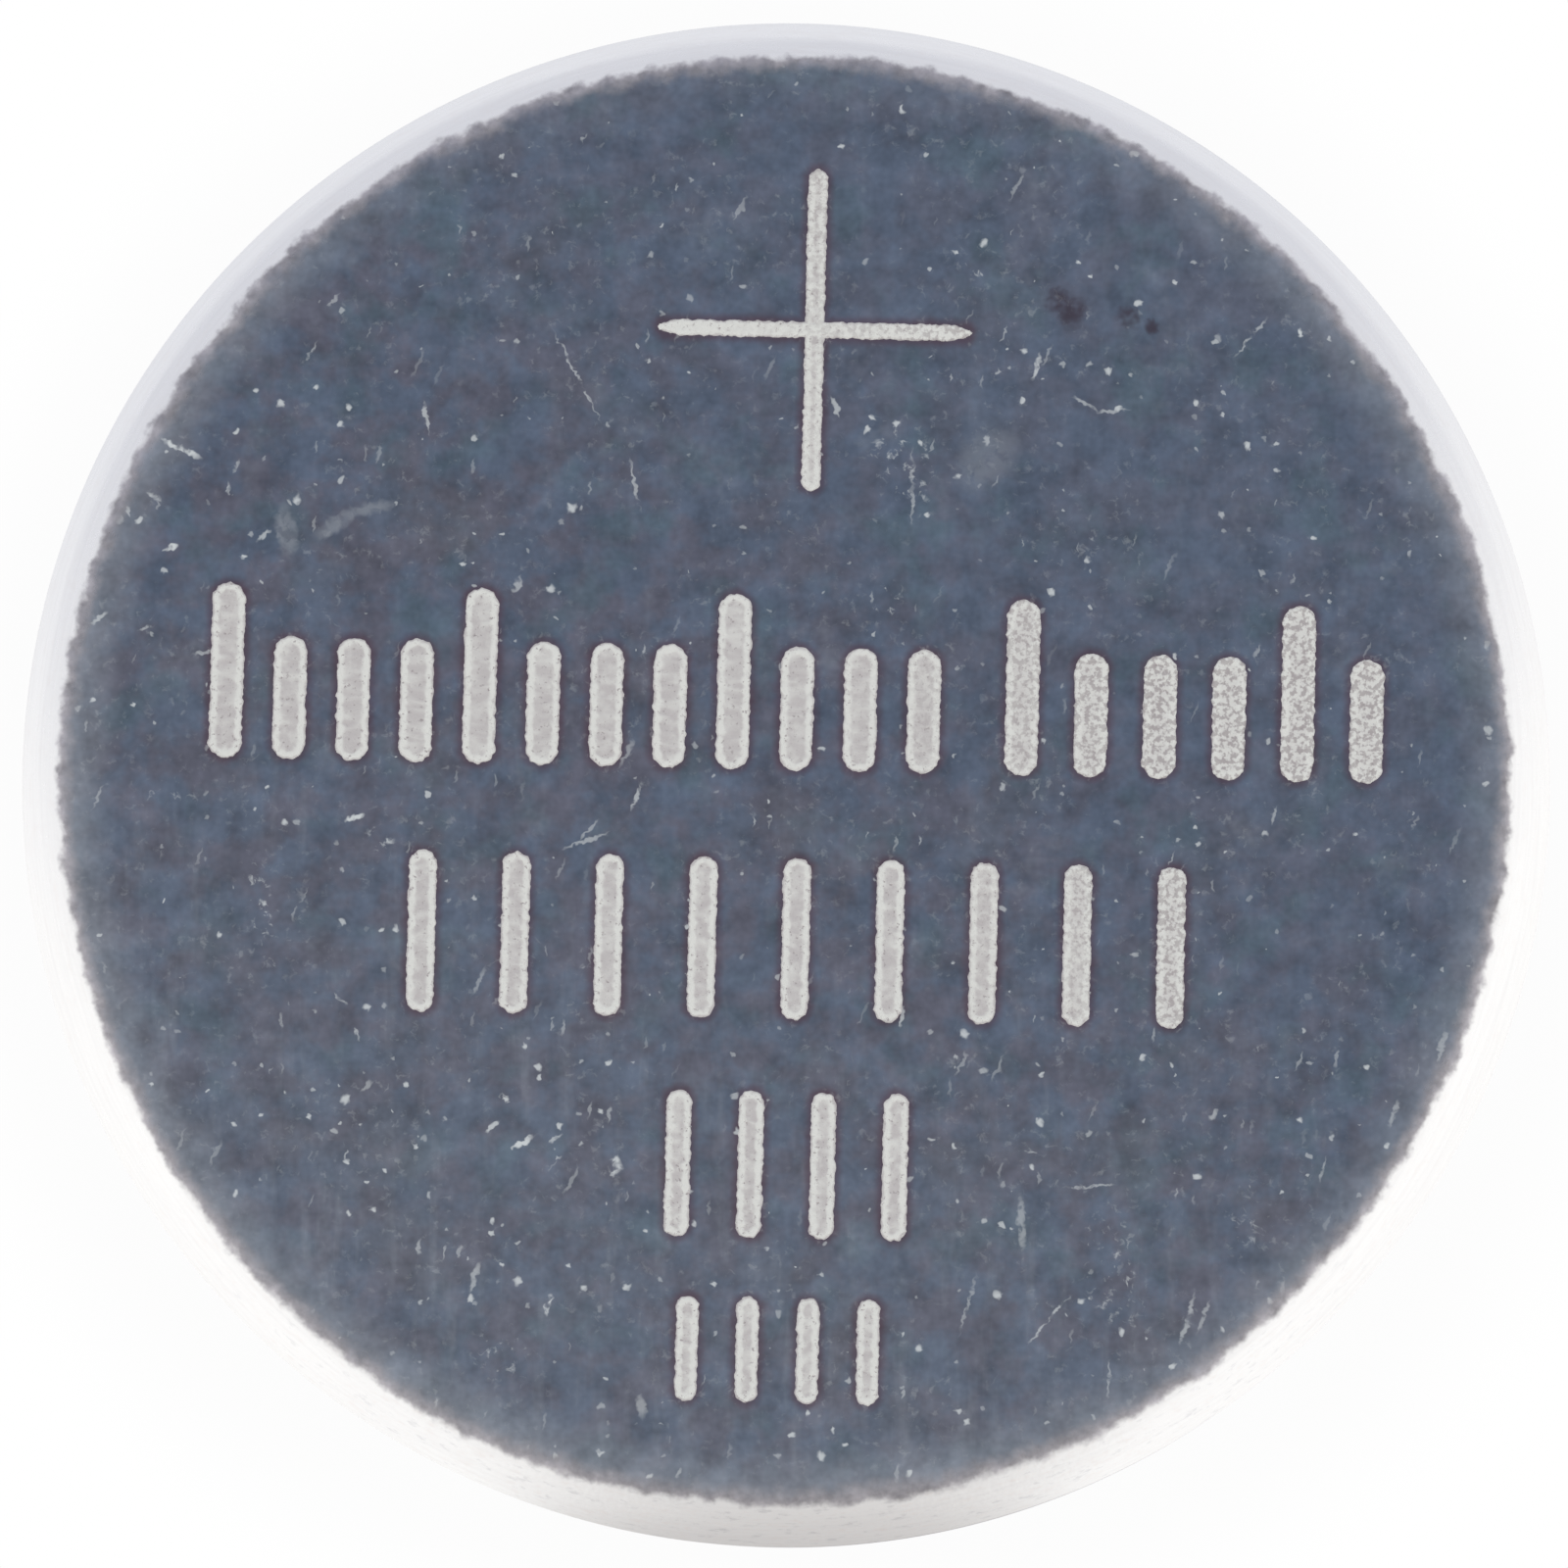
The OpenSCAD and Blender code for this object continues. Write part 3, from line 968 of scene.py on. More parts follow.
@dataclass(frozen=True)
class DrawnSteel:
    """The can's steel: bright at its corner and wall; its flat face is painted darker and mottled, as a
    reflection of the dim space overhead.
    """

    name: str = "drawn_steel"
    bright: Colour = srgb(250, 250, 251)
    warm: Colour = srgb(243, 238, 237)
    dull: Colour = srgb(226, 225, 228)
    # side and groove are painted shade: the greyer reflection of the shaded table, lower on the wall and
    # towards the front
    side: Colour = srgb(214, 214, 218)
    groove: Colour = srgb(190, 190, 195)
    face: FacePatch = field(default_factory=FacePatch)
    cuts_x: tuple[float, ...] = (-2.9, 0.0, 2.9)
    cuts_y: tuple[float, ...] = (-2.1, -0.3, 2.0)

    def make(self, sizes: CellSizes, marking: Marking) -> bpy.types.Material:
        """Builds the material.

        Args:
            sizes: The cell's sizes.
            marking: The marks that the face's halo follows.

        Returns:
            The material.
        """
        graph = new_graph(self.name)
        place = graph.place()
        x, y, z = graph.parts(place)
        radius = (x * x + y * y) ** 0.5
        normal = graph.bump(graph.clouds(place, 20.0, 1.0, 0.6), 0.0012)
        steel, rough = self.wall(graph, sizes, x, y, z)
        # The flat face's painted dark reflection ends at a ragged edge; outside it lies a painted grey
        # fringe, wider towards the front, whose brightness varies in patches
        ragged = radius + 0.17 * (graph.clouds(place, 5.5, 3.0, 0.58) - 0.5) \
            + 0.06 * (graph.clouds(place, 1.5, 1.0) - 0.5)
        on_top = z.over(sizes.cell_h - sizes.can_corner_r)
        edge = self.face.edge_r
        front = (-1.0 * y).ease(2.5, 5.2)
        outer = ragged.ease(edge + 0.065 + 0.01 * front, edge + 0.005) * on_top
        inner = ragged.ease(edge + 0.025, edge - 0.115 - 0.02 * front) * on_top
        edge_sheen = graph.clouds(graph.warp(place, shift=(9, 3, 0)), 8.0, 3.0, 0.6)
        steel = graph.mix(outer, steel, graph.brighten(self.face.fringe, 0.30 + 1.40 * edge_sheen))
        rim = graph.shader({"Base Color": steel, "Metallic": 1.0, "Roughness": rough, "Normal": normal})
        whole = Area(-sizes.can_r, -sizes.can_r, sizes.can_r, sizes.can_r)
        wear_and_reflection = self.flat(graph, place, marking, normal)
        parts = self.part(graph, wear_and_reflection, marking, whole, self.cuts_x, self.cuts_y)
        return graph.end(graph.either(inner, rim, parts))

    def wall(self, graph: Graph, sizes: CellSizes, x: Field, y: Field, z: Field) -> tuple[Field, Field]:
        """The bright steel: fine lines round the can, patches, and a greyer side and front that are painted
        shade, the reflection of the shaded table.

        Args:
            graph: The material's nodes.
            sizes: The cell's sizes.
            x: The point's x in millimetres.
            y: Its y.
            z: Its height.

        Returns:
            Colour and roughness.
        """
        radius = (x * x + y * y) ** 0.5
        across = z - radius
        lines = graph.clouds(graph.join(x * 0.9, y * 0.9, across * 22.0), 1.0, 3.0, 0.6)
        pores = graph.clouds(graph.join(x, y, across * 2.0), 7.0, 4.0, 0.65)
        dents = graph.clouds(graph.join(x, y, z * 1.6), 4.5, 4.0, 0.7).ease(0.60, 0.70)
        front = (-1.0 * y).ease(2.5, 5.2)
        side = z.ease(sizes.cell_h - 0.9 * sizes.can_corner_r, sizes.cell_h - 1.9 * sizes.can_corner_r)
        colour = graph.mix(lines.ease(0.35, 0.80) * (0.22 + 0.3 * side), self.bright, self.dull)
        colour = graph.mix(pores.ease(0.50, 0.75) * (0.3 + 0.3 * front), colour, self.warm)
        # Painted shade: greyer towards the front and lower on the wall, as the reflection of the shaded
        # table
        colour = graph.mix(pores.ease(0.44, 0.30) * front * 0.5, colour, self.side)
        colour = graph.mix(side * 0.85, colour, graph.mix(lines.ease(0.30, 0.70), self.side, self.groove))
        colour = graph.mix(dents * side * 0.5, colour, self.groove)
        rough = 0.22 + (0.05 + 0.12 * side) * lines + (0.08 + 0.10 * front) * pores
        return colour, rough + 0.12 * dents * side

    def flat(self, graph: Graph, place: Field, marking: Marking, normal: Field) -> WornFaceAndReflection:
        """The flat face: a cloudy blue-grey, painted as a dark reflection of the dim space overhead, with
        faint upright streaks, haze and specks, and a painted lighter sheen towards the front and round its
        edge.

        Args:
            graph: The material's nodes.
            place: The point in millimetres.
            marking: The etched marks, which lean.
            normal: The normals of the fine relief.

        Returns:
            What its parts share.
        """
        x, y, _ = graph.parts(place)
        level = graph.parts(graph.warp(place, turn=-marking.lean))[:2]
        radius = (x * x + y * y) ** 0.5
        tone = self.face
        flat_place = graph.join(x, y)
        broad = graph.clouds(flat_place, 0.9, 3.0, 0.6)
        blotch = graph.clouds(graph.warp(flat_place, shift=(31, 7, 0)), 2.6, 3.0, 0.6)
        patch = graph.clouds(graph.warp(flat_place, shift=(-13, 22, 0)), 1.7, 3.0, 0.6)
        mottle = graph.clouds(graph.warp(flat_place, shift=(5, 41, 0)), 3.0, 3.0, 0.75)
        streak = graph.clouds(graph.warp(flat_place, scale=(6.0, 0.9, 1.0), turn=4.0), 1.0, 3.0, 0.6)
        smear = graph.clouds(graph.warp(flat_place, shift=(3, -9, 0)), 1.3, 4.0, 0.72)
        cool = (x + y).ease(-1.0, 5.0)
        # The face's blue-grey is a painted dark reflection of the dim space overhead
        colour = graph.mix(blotch.ease(0.38, 0.62) * (1.0 - 0.5 * cool), tone.blue, tone.violet)
        colour = graph.mix(patch.ease(0.50, 0.70) * 0.7, colour, tone.teal)
        colour = graph.mix(broad.ease(0.50, 0.72) * (0.5 - 0.3 * cool), colour, tone.umber)
        # Painted sheen: lighter towards the front and left, where the hazy streaks are also stronger
        low = (-0.35 * x - y).ease(-1.0, 5.0)
        colour = graph.mix(low * 0.20 + streak.ease(0.50, 0.80) * (0.10 + 0.24 * low), colour, tone.haze_and_sheen)
        # Painted glare along the face's front edge
        glare = graph.clouds(graph.warp(flat_place, scale=(4.2, 0.5, 1.0), turn=8.0), 1.0, 2.0, 0.5)
        colour = graph.mix(glare.ease(0.50, 0.70) * (-1.0 * y).ease(4.2, 5.2) * 0.35, colour, tone.haze_and_sheen)
        colour = graph.mix(smear.ease(0.56, 0.80) * 0.40, colour, tone.haze_and_sheen)
        # Painted sheen round the face's edge, where the corner starts to turn, weaker at the back
        edge_sheen = 0.55 - 0.38 * y.ease(3.6, 5.2) + 0.22 * (-1.0 * x - 0.7 * y).ease(-1.0, 6.0)
        colour = graph.mix(radius.ease(tone.edge_r - 0.45, tone.edge_r - 0.02) * edge_sheen, colour, tone.haze_and_sheen)
        uneven = graph.shake(graph.shake(flat_place, 13.0, 0.045), 36.0, 0.03)
        shaken_x, shaken_y, _ = graph.parts(uneven)
        crowd = broad.ease(0.36, 0.60)
        return WornFaceAndReflection(
            x=x, y=y, level=level, across=graph.join(shaken_x, shaken_x, shaken_x),
            up=graph.join(shaken_y, shaken_y, shaken_y), normal=normal, crowd=crowd,
            colour=graph.brighten(colour, 0.35 + 1.30 * mottle), rough=0.26 + 0.14 * smear + 0.08 * streak,
            patchy=smear.ease(0.30, 0.50), blotted=mottle.ease(0.74, 0.48),
            specks=self.specks(graph, uneven, crowd),
            grit=graph.clouds(uneven, 11.0, 3.0, 0.7).ease(0.55, 0.72),
            broken=graph.clouds(uneven, 9.0, 3.0, 0.6).ease(0.34, 0.52),
            frayed=0.03 * (graph.clouds(place, 14.0, 2.0) - 0.5))

    def specks(self, graph: Graph, uneven: Field, crowd: Field) -> Field:
        """Scattered bright specks and dashes.

        Args:
            graph: The material's nodes.
            uneven: The point on the face in millimetres, shaken.
            crowd: Where the marks gather.

        Returns:
            0 on whole steel and up to 1 on a speck.
        """
        scar = graph.specks(uneven, 0.33, 0.034, 0.17) * 0.7
        dots = graph.specks(graph.warp(uneven, shift=(7.3, 5.9, 0)), 0.20, 0.024, 0.17)
        scar = scar.most(dots * (0.3 + 0.5 * crowd))
        for turn, length, share in ((65.0, 0.26, 0.10), (82.0, 0.15, 0.11)):
            lines = graph.warp(uneven, turn=-turn, shift=(turn, length, 0))
            lines = graph.warp(lines, scale=(0.036 / length, 1.0, 1.0))
            scar = scar.most(graph.specks(lines, 0.14, 0.020, share) * (0.12 + 0.35 * crowd))
        return scar

    def part(self, graph: Graph, wear_and_reflection: WornFaceAndReflection, marking: Marking, area: Area,
             cuts_x: tuple[float, ...], cuts_y: tuple[float, ...]) -> Field:
        """Part of the face. It is cut in two again and again, so that no point works out marks far from it.

        Args:
            graph: The material's nodes.
            wear_and_reflection: What the parts share.
            marking: The etched marks.
            area: Where the part lies.
            cuts_x: Each x where it is still cut.
            cuts_y: Each y where it is still cut.

        Returns:
            The part's shader.
        """
        if not cuts_x and not cuts_y:
            return self.dressed(graph, wear_and_reflection, marking, area)
        cuts = cuts_x or cuts_y
        middle = len(cuts) // 2
        at, low, high = cuts[middle], cuts[:middle], cuts[middle + 1:]
        if cuts_x:
            return graph.either(wear_and_reflection.x.over(at),
                                self.part(graph, wear_and_reflection, marking, replace(area, x1=at), low, cuts_y),
                                self.part(graph, wear_and_reflection, marking, replace(area, x0=at), high, cuts_y))
        return graph.either(wear_and_reflection.y.over(at),
                            self.part(graph, wear_and_reflection, marking, replace(area, y1=at), (), low),
                            self.part(graph, wear_and_reflection, marking, replace(area, y0=at), (), high))

    def dressed(self, graph: Graph, wear_and_reflection: WornFaceAndReflection, marking: Marking, area: Area) -> Field:
        """A piece of the face with the marks that touch it.

        Args:
            graph: The material's nodes.
            wear_and_reflection: What the parts share.
            marking: The etched marks.
            area: Where the part lies.

        Returns:
            Its shader.
        """
        tone = self.face
        scratches, smudges, stains, scuffs, flecks = (
            [mark for mark in marks if mark.reaches(area)]
            for marks in (tone.scratches, tone.smudges, tone.stains, tone.scuffs, tone.flecks))
        smudged = soft_ovals(graph, wear_and_reflection, smudges, 1.0, 0.0) * wear_and_reflection.patchy * (0.45 + 0.55 * wear_and_reflection.broken)
        colour = graph.mix(smudged, wear_and_reflection.colour, tone.haze_and_sheen)
        stained = soft_ovals(graph, wear_and_reflection, stains, 0.87, 0.0) * wear_and_reflection.blotted
        colour = graph.mix(stained * 0.85, colour, tone.soot)
        colour = graph.mix(self.halo(graph, wear_and_reflection, marking, area) * 0.55, colour, tone.burnt)
        scar = wear_and_reflection.specks.most(soft_ovals(graph, wear_and_reflection, scratches, 1.0, 0.16) * wear_and_reflection.broken)
        scar = scar.most(soft_ovals(graph, wear_and_reflection, flecks, 0.87, 0.0) * 0.8)
        scuffed = (0.17 * wear_and_reflection.crowd).most(soft_ovals(graph, wear_and_reflection, scuffs, 1.0, 0.0))
        scar = scar.most(wear_and_reflection.grit * scuffed)
        return graph.shader({"Base Color": graph.mix(scar, colour, tone.chalk), "Normal": wear_and_reflection.normal,
                             "Metallic": 1.0 - 0.8 * scar, "Roughness": wear_and_reflection.rough + 0.3 * scar})

    def halo(self, graph: Graph, wear_and_reflection: WornFaceAndReflection, marking: Marking, area: Area) -> Field | float:
        """The heat stain round the etched marks in an area.

        Args:
            graph: The material's nodes.
            wear_and_reflection: What the parts share.
            marking: The marks.
            area: Where they are looked for.

        Returns:
            0 on clean steel and up to 1 beside a mark.
        """
        x, y = wear_and_reflection.level
        gaps = []
        for stroke in marking.plus:
            if stroke.reaches(area):
                from_middle = (y - stroke.y, x - stroke.x)
                along, beside = from_middle if stroke.upright else reversed(from_middle)
                gaps.append(bar_gap(graph, along, beside, stroke.length / 2, stroke.width / 2))
        for row in marking.rows:
            if row.reaches(area):
                place = (x - row.left) / row.pitch
                index = place.nearest().most(0.0).least(row.count - 1.0)
                base, rise = row.middle - row.height / 2, row.height / 2
                if row.low_height < row.height:
                    rise = rise - (index % 4.0).least(1.0) * ((row.height - row.low_height) / 2)
                    along = y - base - rise
                else:
                    along = y - (base + rise)
                gaps.append(bar_gap(graph, along, (place - index) * row.pitch, rise, row.width / 2))
        return (reduce(Field.least, gaps) + wear_and_reflection.frayed).ease(0.075, -0.01) if gaps else 0.0


def soft_ovals(graph: Graph, wear_and_reflection: WornFaceAndReflection, ovals: list[Scratch | Fleck], edge: float,
               core: float) -> Field | float:
    """Scratches or spots as soft ovals. Each three of them are the x, y and z of the same nodes.

    Args:
        graph: The material's nodes.
        wear_and_reflection: The face, with its places.
        ovals: The scratches or spots.
        edge: Where they fade out, as a square of the share of their half-length and half-width.
        core: Where they are whole, as such a square.

    Returns:
        0 beside them and up to their strength on them.
    """
    shown = []
    for start in range(0, len(ovals), 3):
        three = [ovals[min(start + step, len(ovals) - 1)] for step in range(3)]
        square: Field | Colour = (0.0, 0.0, 0.0)
        for shares in zip(*(oval.shares() for oval in three)):
            by_x, by_y, offset = zip(*shares)
            place = graph.scaled_sum(wear_and_reflection.up, by_y, offset) if any(by_y) else offset
            place = graph.scaled_sum(wear_and_reflection.across, by_x, place) if any(by_x) else place
            square = graph.scaled_sum(place, place, square)
        shown.append(graph.add("ShaderNodeMapRange",
                               {"data_type": "FLOAT_VECTOR", "interpolation_type": "SMOOTHSTEP"},
                               {6: square, 7: (edge,) * 3, 8: (core,) * 3,
                                10: tuple(oval.strength for oval in three)}, "Vector"))
    if not shown:
        return 0.0
    strongest = reduce(lambda one, other: graph.add("ShaderNodeVectorMath", {"operation": "MAXIMUM"},
                                                    {0: one, 1: other}), shown)
    return reduce(Field.most, graph.parts(strongest))


def bar_gap(graph: Graph, along: Field, beside: Field, half_length: Field | float,
            half_width: float) -> Field:
    """How far a point lies from the edge of a round-ended bar.

    Args:
        graph: The material's nodes.
        along: The point's place along the bar, from the bar's middle.
        beside: Its place beside the bar's middle line.
        half_length: Half of the bar's length.
        half_width: Half of its width.

    Returns:
        The gap in millimetres, below 0 inside the bar.
    """
    reach = (abs(along) - (half_length - half_width)).most(0.0)
    apart = graph.join(beside, reach)
    return graph.add("ShaderNodeVectorMath", {"operation": "LENGTH"}, {0: apart}, "Value") - half_width


@dataclass(frozen=True)
class EtchedSteel:
    """Frosted steel of the marks: white along the beaded edge, partly a painted highlight on its raised
    crest, and greyer inside.
    """

    name: str = "etched_steel"
    edge: Colour = srgb(240, 241, 237)
    inside: Colour = srgb(208, 204, 204)
    pit: Colour = srgb(168, 160, 162)

    def make(self, sizes: CellSizes) -> bpy.types.Material:
        """Builds the material for marks on a face of that height."""
        graph = new_graph(self.name)
        place = graph.place()
        x, y, z = graph.parts(place)
        crest_highlight = (z - sizes.cell_h).ease(0.003, 0.008)
        grain = graph.clouds(place, 30.0, 3.0, 0.7)
        tint = graph.clouds(place, 7.0, 2.0)
        coarse = (0.7 * x + 0.25 * y).ease(0.2, 2.2)
        speckle = graph.clouds(place, 24.0, 2.0, 0.6).ease(0.40, 0.56)
        colour = graph.mix(grain.ease(0.42, 0.30), self.inside, self.pit)
        colour = graph.mix(tint.ease(0.45, 0.65) * 0.4, colour, self.edge)
        # Painted highlight: the bead's higher crest is whiter
        colour = graph.mix(crest_highlight * grain.ease(0.30, 0.45), colour, self.edge)
        colour = graph.mix(coarse * 0.65, colour, graph.mix(speckle, self.pit, self.edge))
        return graph.surface({"Base Color": colour, "Metallic": 0.1, "Roughness": 0.62}, grain, 0.006)


@dataclass(frozen=True)
class CapSteel:
    """The cap's steel: satin, with fine lines round it and light scratches."""

    name: str = "satin_cap_steel"
    light: Colour = srgb(210, 210, 212)
    dark: Colour = srgb(166, 167, 172)
    bare: Colour = srgb(236, 236, 238)

    def make(self) -> bpy.types.Material:
        """Builds the material."""
        graph = new_graph(self.name)
        place = graph.place()
        x, y, z = graph.parts(place)
        radius = (x * x + y * y) ** 0.5
        rings = graph.clouds(graph.join(x * 0.5, y * 0.5, radius * 9.0), 1.0, 4.0, 0.75)
        cloud = graph.clouds(place, 1.3, 5.0, 0.7)
        colour = graph.mix(rings.ease(0.36, 0.64) * 0.7, self.light, self.dark)
        colour = graph.mix(cloud.ease(0.48, 0.70) * 0.6, colour, self.dark)
        uneven = graph.shake(graph.join(x, y), 4.0, 0.16)
        hair = graph.specks(graph.join(x, y), 0.42, 0.03, 0.20)
        for turn in (28.0, -47.0, 80.0):
            lines = graph.warp(graph.warp(uneven, turn=turn, shift=(turn, 0, 0)), scale=(0.07, 1.0, 1.0))
            hair = hair.most(graph.specks(lines, 0.22, 0.022, 0.22))
        return graph.surface({"Base Color": graph.mix(hair * 0.75, colour, self.bare), "Metallic": 1.0,
                              "Roughness": 0.24 + 0.18 * rings + 0.12 * cloud + 0.2 * hair},
                             rings - 0.6 * hair, 0.003)


@dataclass(frozen=True)
class Moulded:
    """Milky moulded plastic, slightly glossy, with a faint grain."""

    name: str = "milky_polypropylene"
    clear: Colour = srgb(232, 232, 224)
    cloudy: Colour = srgb(214, 213, 204)

    def make(self) -> bpy.types.Material:
        """Builds the material."""
        graph = new_graph(self.name)
        place = graph.place()
        cloud = graph.clouds(place, 2.5, 3.0)
        grain = graph.clouds(place, 28.0, 2.0)
        return graph.surface({"Base Color": graph.mix(cloud, self.clear, self.cloudy),
                              "Roughness": 0.38 + 0.18 * grain, "Subsurface Weight": 0.15,
                              "Subsurface Scale": 0.3 * MM}, grain, 0.004)


@dataclass(frozen=True)
class Pressed:
    """A pressed or felted solid: a body colour with coarse grains of a second one."""

    name: str
    body: Colour
    grains: Colour
    scale: float
    depth: float
    roughness: float
    metallic: float = 0.0

    def make(self) -> bpy.types.Material:
        """Builds the material."""
        graph = new_graph(self.name)
        place = graph.place()
        grain = graph.clouds(place, self.scale, 4.0, 0.7)
        colour = graph.mix(grain.ease(0.42, 0.68), self.body, self.grains)
        return graph.surface({"Base Color": colour, "Metallic": self.metallic,
                              "Roughness": self.roughness + 0.15 * grain}, grain, self.depth)


@dataclass(frozen=True)
class Fleece:
    """White nonwoven: layers of fine fibres laid two ways."""

    name: str = "nonwoven_fleece"
    fibre: Colour = srgb(246, 246, 242)
    gap: Colour = srgb(206, 205, 198)

    def make(self) -> bpy.types.Material:
        """Builds the material."""
        graph = new_graph(self.name)
        place = graph.place()
        one_way = graph.clouds(graph.warp(place, scale=(30.0, 2.5, 12.0), turn=35.0), 1.0, 2.0)
        other_way = graph.clouds(graph.warp(place, scale=(2.5, 30.0, 12.0), turn=12.0), 1.0, 2.0)
        web = one_way.most(other_way)
        return graph.surface({"Base Color": graph.mix(web.ease(0.4, 0.65), self.gap, self.fibre),
                              "Roughness": 0.9}, web, 0.02)


# Sub-assemblies

@dataclass
class Shells:
    """The two steel shells and the gasket that seals them: all that is seen of the cell."""

    sizes: CellSizes
    can_cut_r: float = 0.04
    hem_cut_r: float = 0.03

    def build_can(self, material: bpy.types.Material) -> None:
        """Builds the drawn can with its crimped mouth."""
        size = self.sizes
        steps = [Press(size.can_r - size.can_corner_r, -90.0, size.can_corner_r - size.can_wall),
                 Press(size.cell_h - size.can_corner_r - size.crimp_z, -size.crimp_turn,
                       size.crimp_r - size.can_wall)]
        pen = pressed_section(size.cell_h - size.can_wall / 2, size.can_wall, steps, self.can_cut_r)
        finish_piece("can_shell", pen.turned(), Slot.CAN, material, "positive_can")

    def build_cap(self, material: bpy.types.Material) -> None:
        """Builds the stepped cap with its folded hem."""
        size = self.sizes
        bend, mid = size.cap_bend_r, size.cap_bend_mid
        neck_mid = size.neck_r - size.cap_wall / 2
        skirt_mid = size.skirt_r - size.cap_wall / 2
        shoulder_mid = size.shoulder_z + size.cap_wall / 2
        steps = [Press(neck_mid - mid, 90.0, bend),
                 Press(size.shoulder_z - 2 * mid, -90.0, bend),
                 Press(skirt_mid - neck_mid - 2 * mid, 90.0, bend),
                 Press(size.fold_z - shoulder_mid - mid, -180.0, size.hem_slit / 2),
                 Press(size.hem_length)]
        pen = pressed_section(size.cap_wall / 2, size.cap_wall, steps, self.hem_cut_r)
        finish_piece("cap_shell", pen.turned(), Slot.CAP, material, "negative_cap")

    def build_gasket(self, material: bpy.types.Material) -> None:
        """Builds the gasket, which fills the room between the shells and hooks under the hem."""
        size = self.sizes
        foot_r = size.cap_bend_r + size.cap_wall
        end_z = size.lip_edge_z - size.gasket_proud
        start_angle = math.asin((foot_r - end_z) / foot_r)
        crimp_in = size.crimp_r - size.can_wall
        crimp_x = size.can_r - size.crimp_r
        lip_turn = math.radians(size.crimp_turn)
        bore_r = size.can_r - size.can_wall
        corner_x = size.can_r - size.can_corner_r
        hem_centre = size.skirt_r + size.hem_slit / 2
        hem_end = size.fold_z - size.hem_length
        bend_in = size.cap_bend_r
        pen = SectionPen(size.neck_r - foot_r + foot_r * math.cos(start_angle), end_z)
        edge = [pen.run_to(size.lip_r, end_z)]
        pen.run_to(size.lip_r, size.lip_edge_z)
        pen.run_to(crimp_x + crimp_in * math.cos(lip_turn), size.crimp_z - crimp_in * math.sin(lip_turn))
        pen.bend(crimp_x, size.crimp_z, size.crimp_turn)
        pen.run_to(bore_r, size.cell_h - size.can_corner_r)
        pen.bend(corner_x, size.cell_h - size.can_corner_r, 90.0)
        pen.run_to(size.leg_r, size.floor_z)
        pen.run_to(size.leg_r, size.floor_z - size.leg_height)
        pen.run_to(size.skirt_r - size.cap_wall, size.floor_z - size.leg_height)
        pen.run_to(size.skirt_r - size.cap_wall, size.fold_z)
        pen.bend(hem_centre, size.fold_z, -180.0)
        pen.run_to(hem_centre + size.cap_wall + size.hem_slit / 2, hem_end)
        pen.run_to(size.skirt_r, hem_end)
        pen.run_to(size.skirt_r, size.shoulder_z + size.cap_wall + bend_in)
        pen.bend(size.skirt_r - foot_r, size.shoulder_z + foot_r, -90.0)
        pen.run_to(size.neck_r + bend_in, size.shoulder_z)
        pen.bend(size.neck_r + bend_in, size.shoulder_z - bend_in, 90.0)
        pen.run_to(size.neck_r, foot_r)
        pen.close()
        pen.soften(edge, size.gasket_proud / 2)
        finish_piece("gasket_ring", pen.turned(), Slot.GASKET, material, "sealing_gasket")


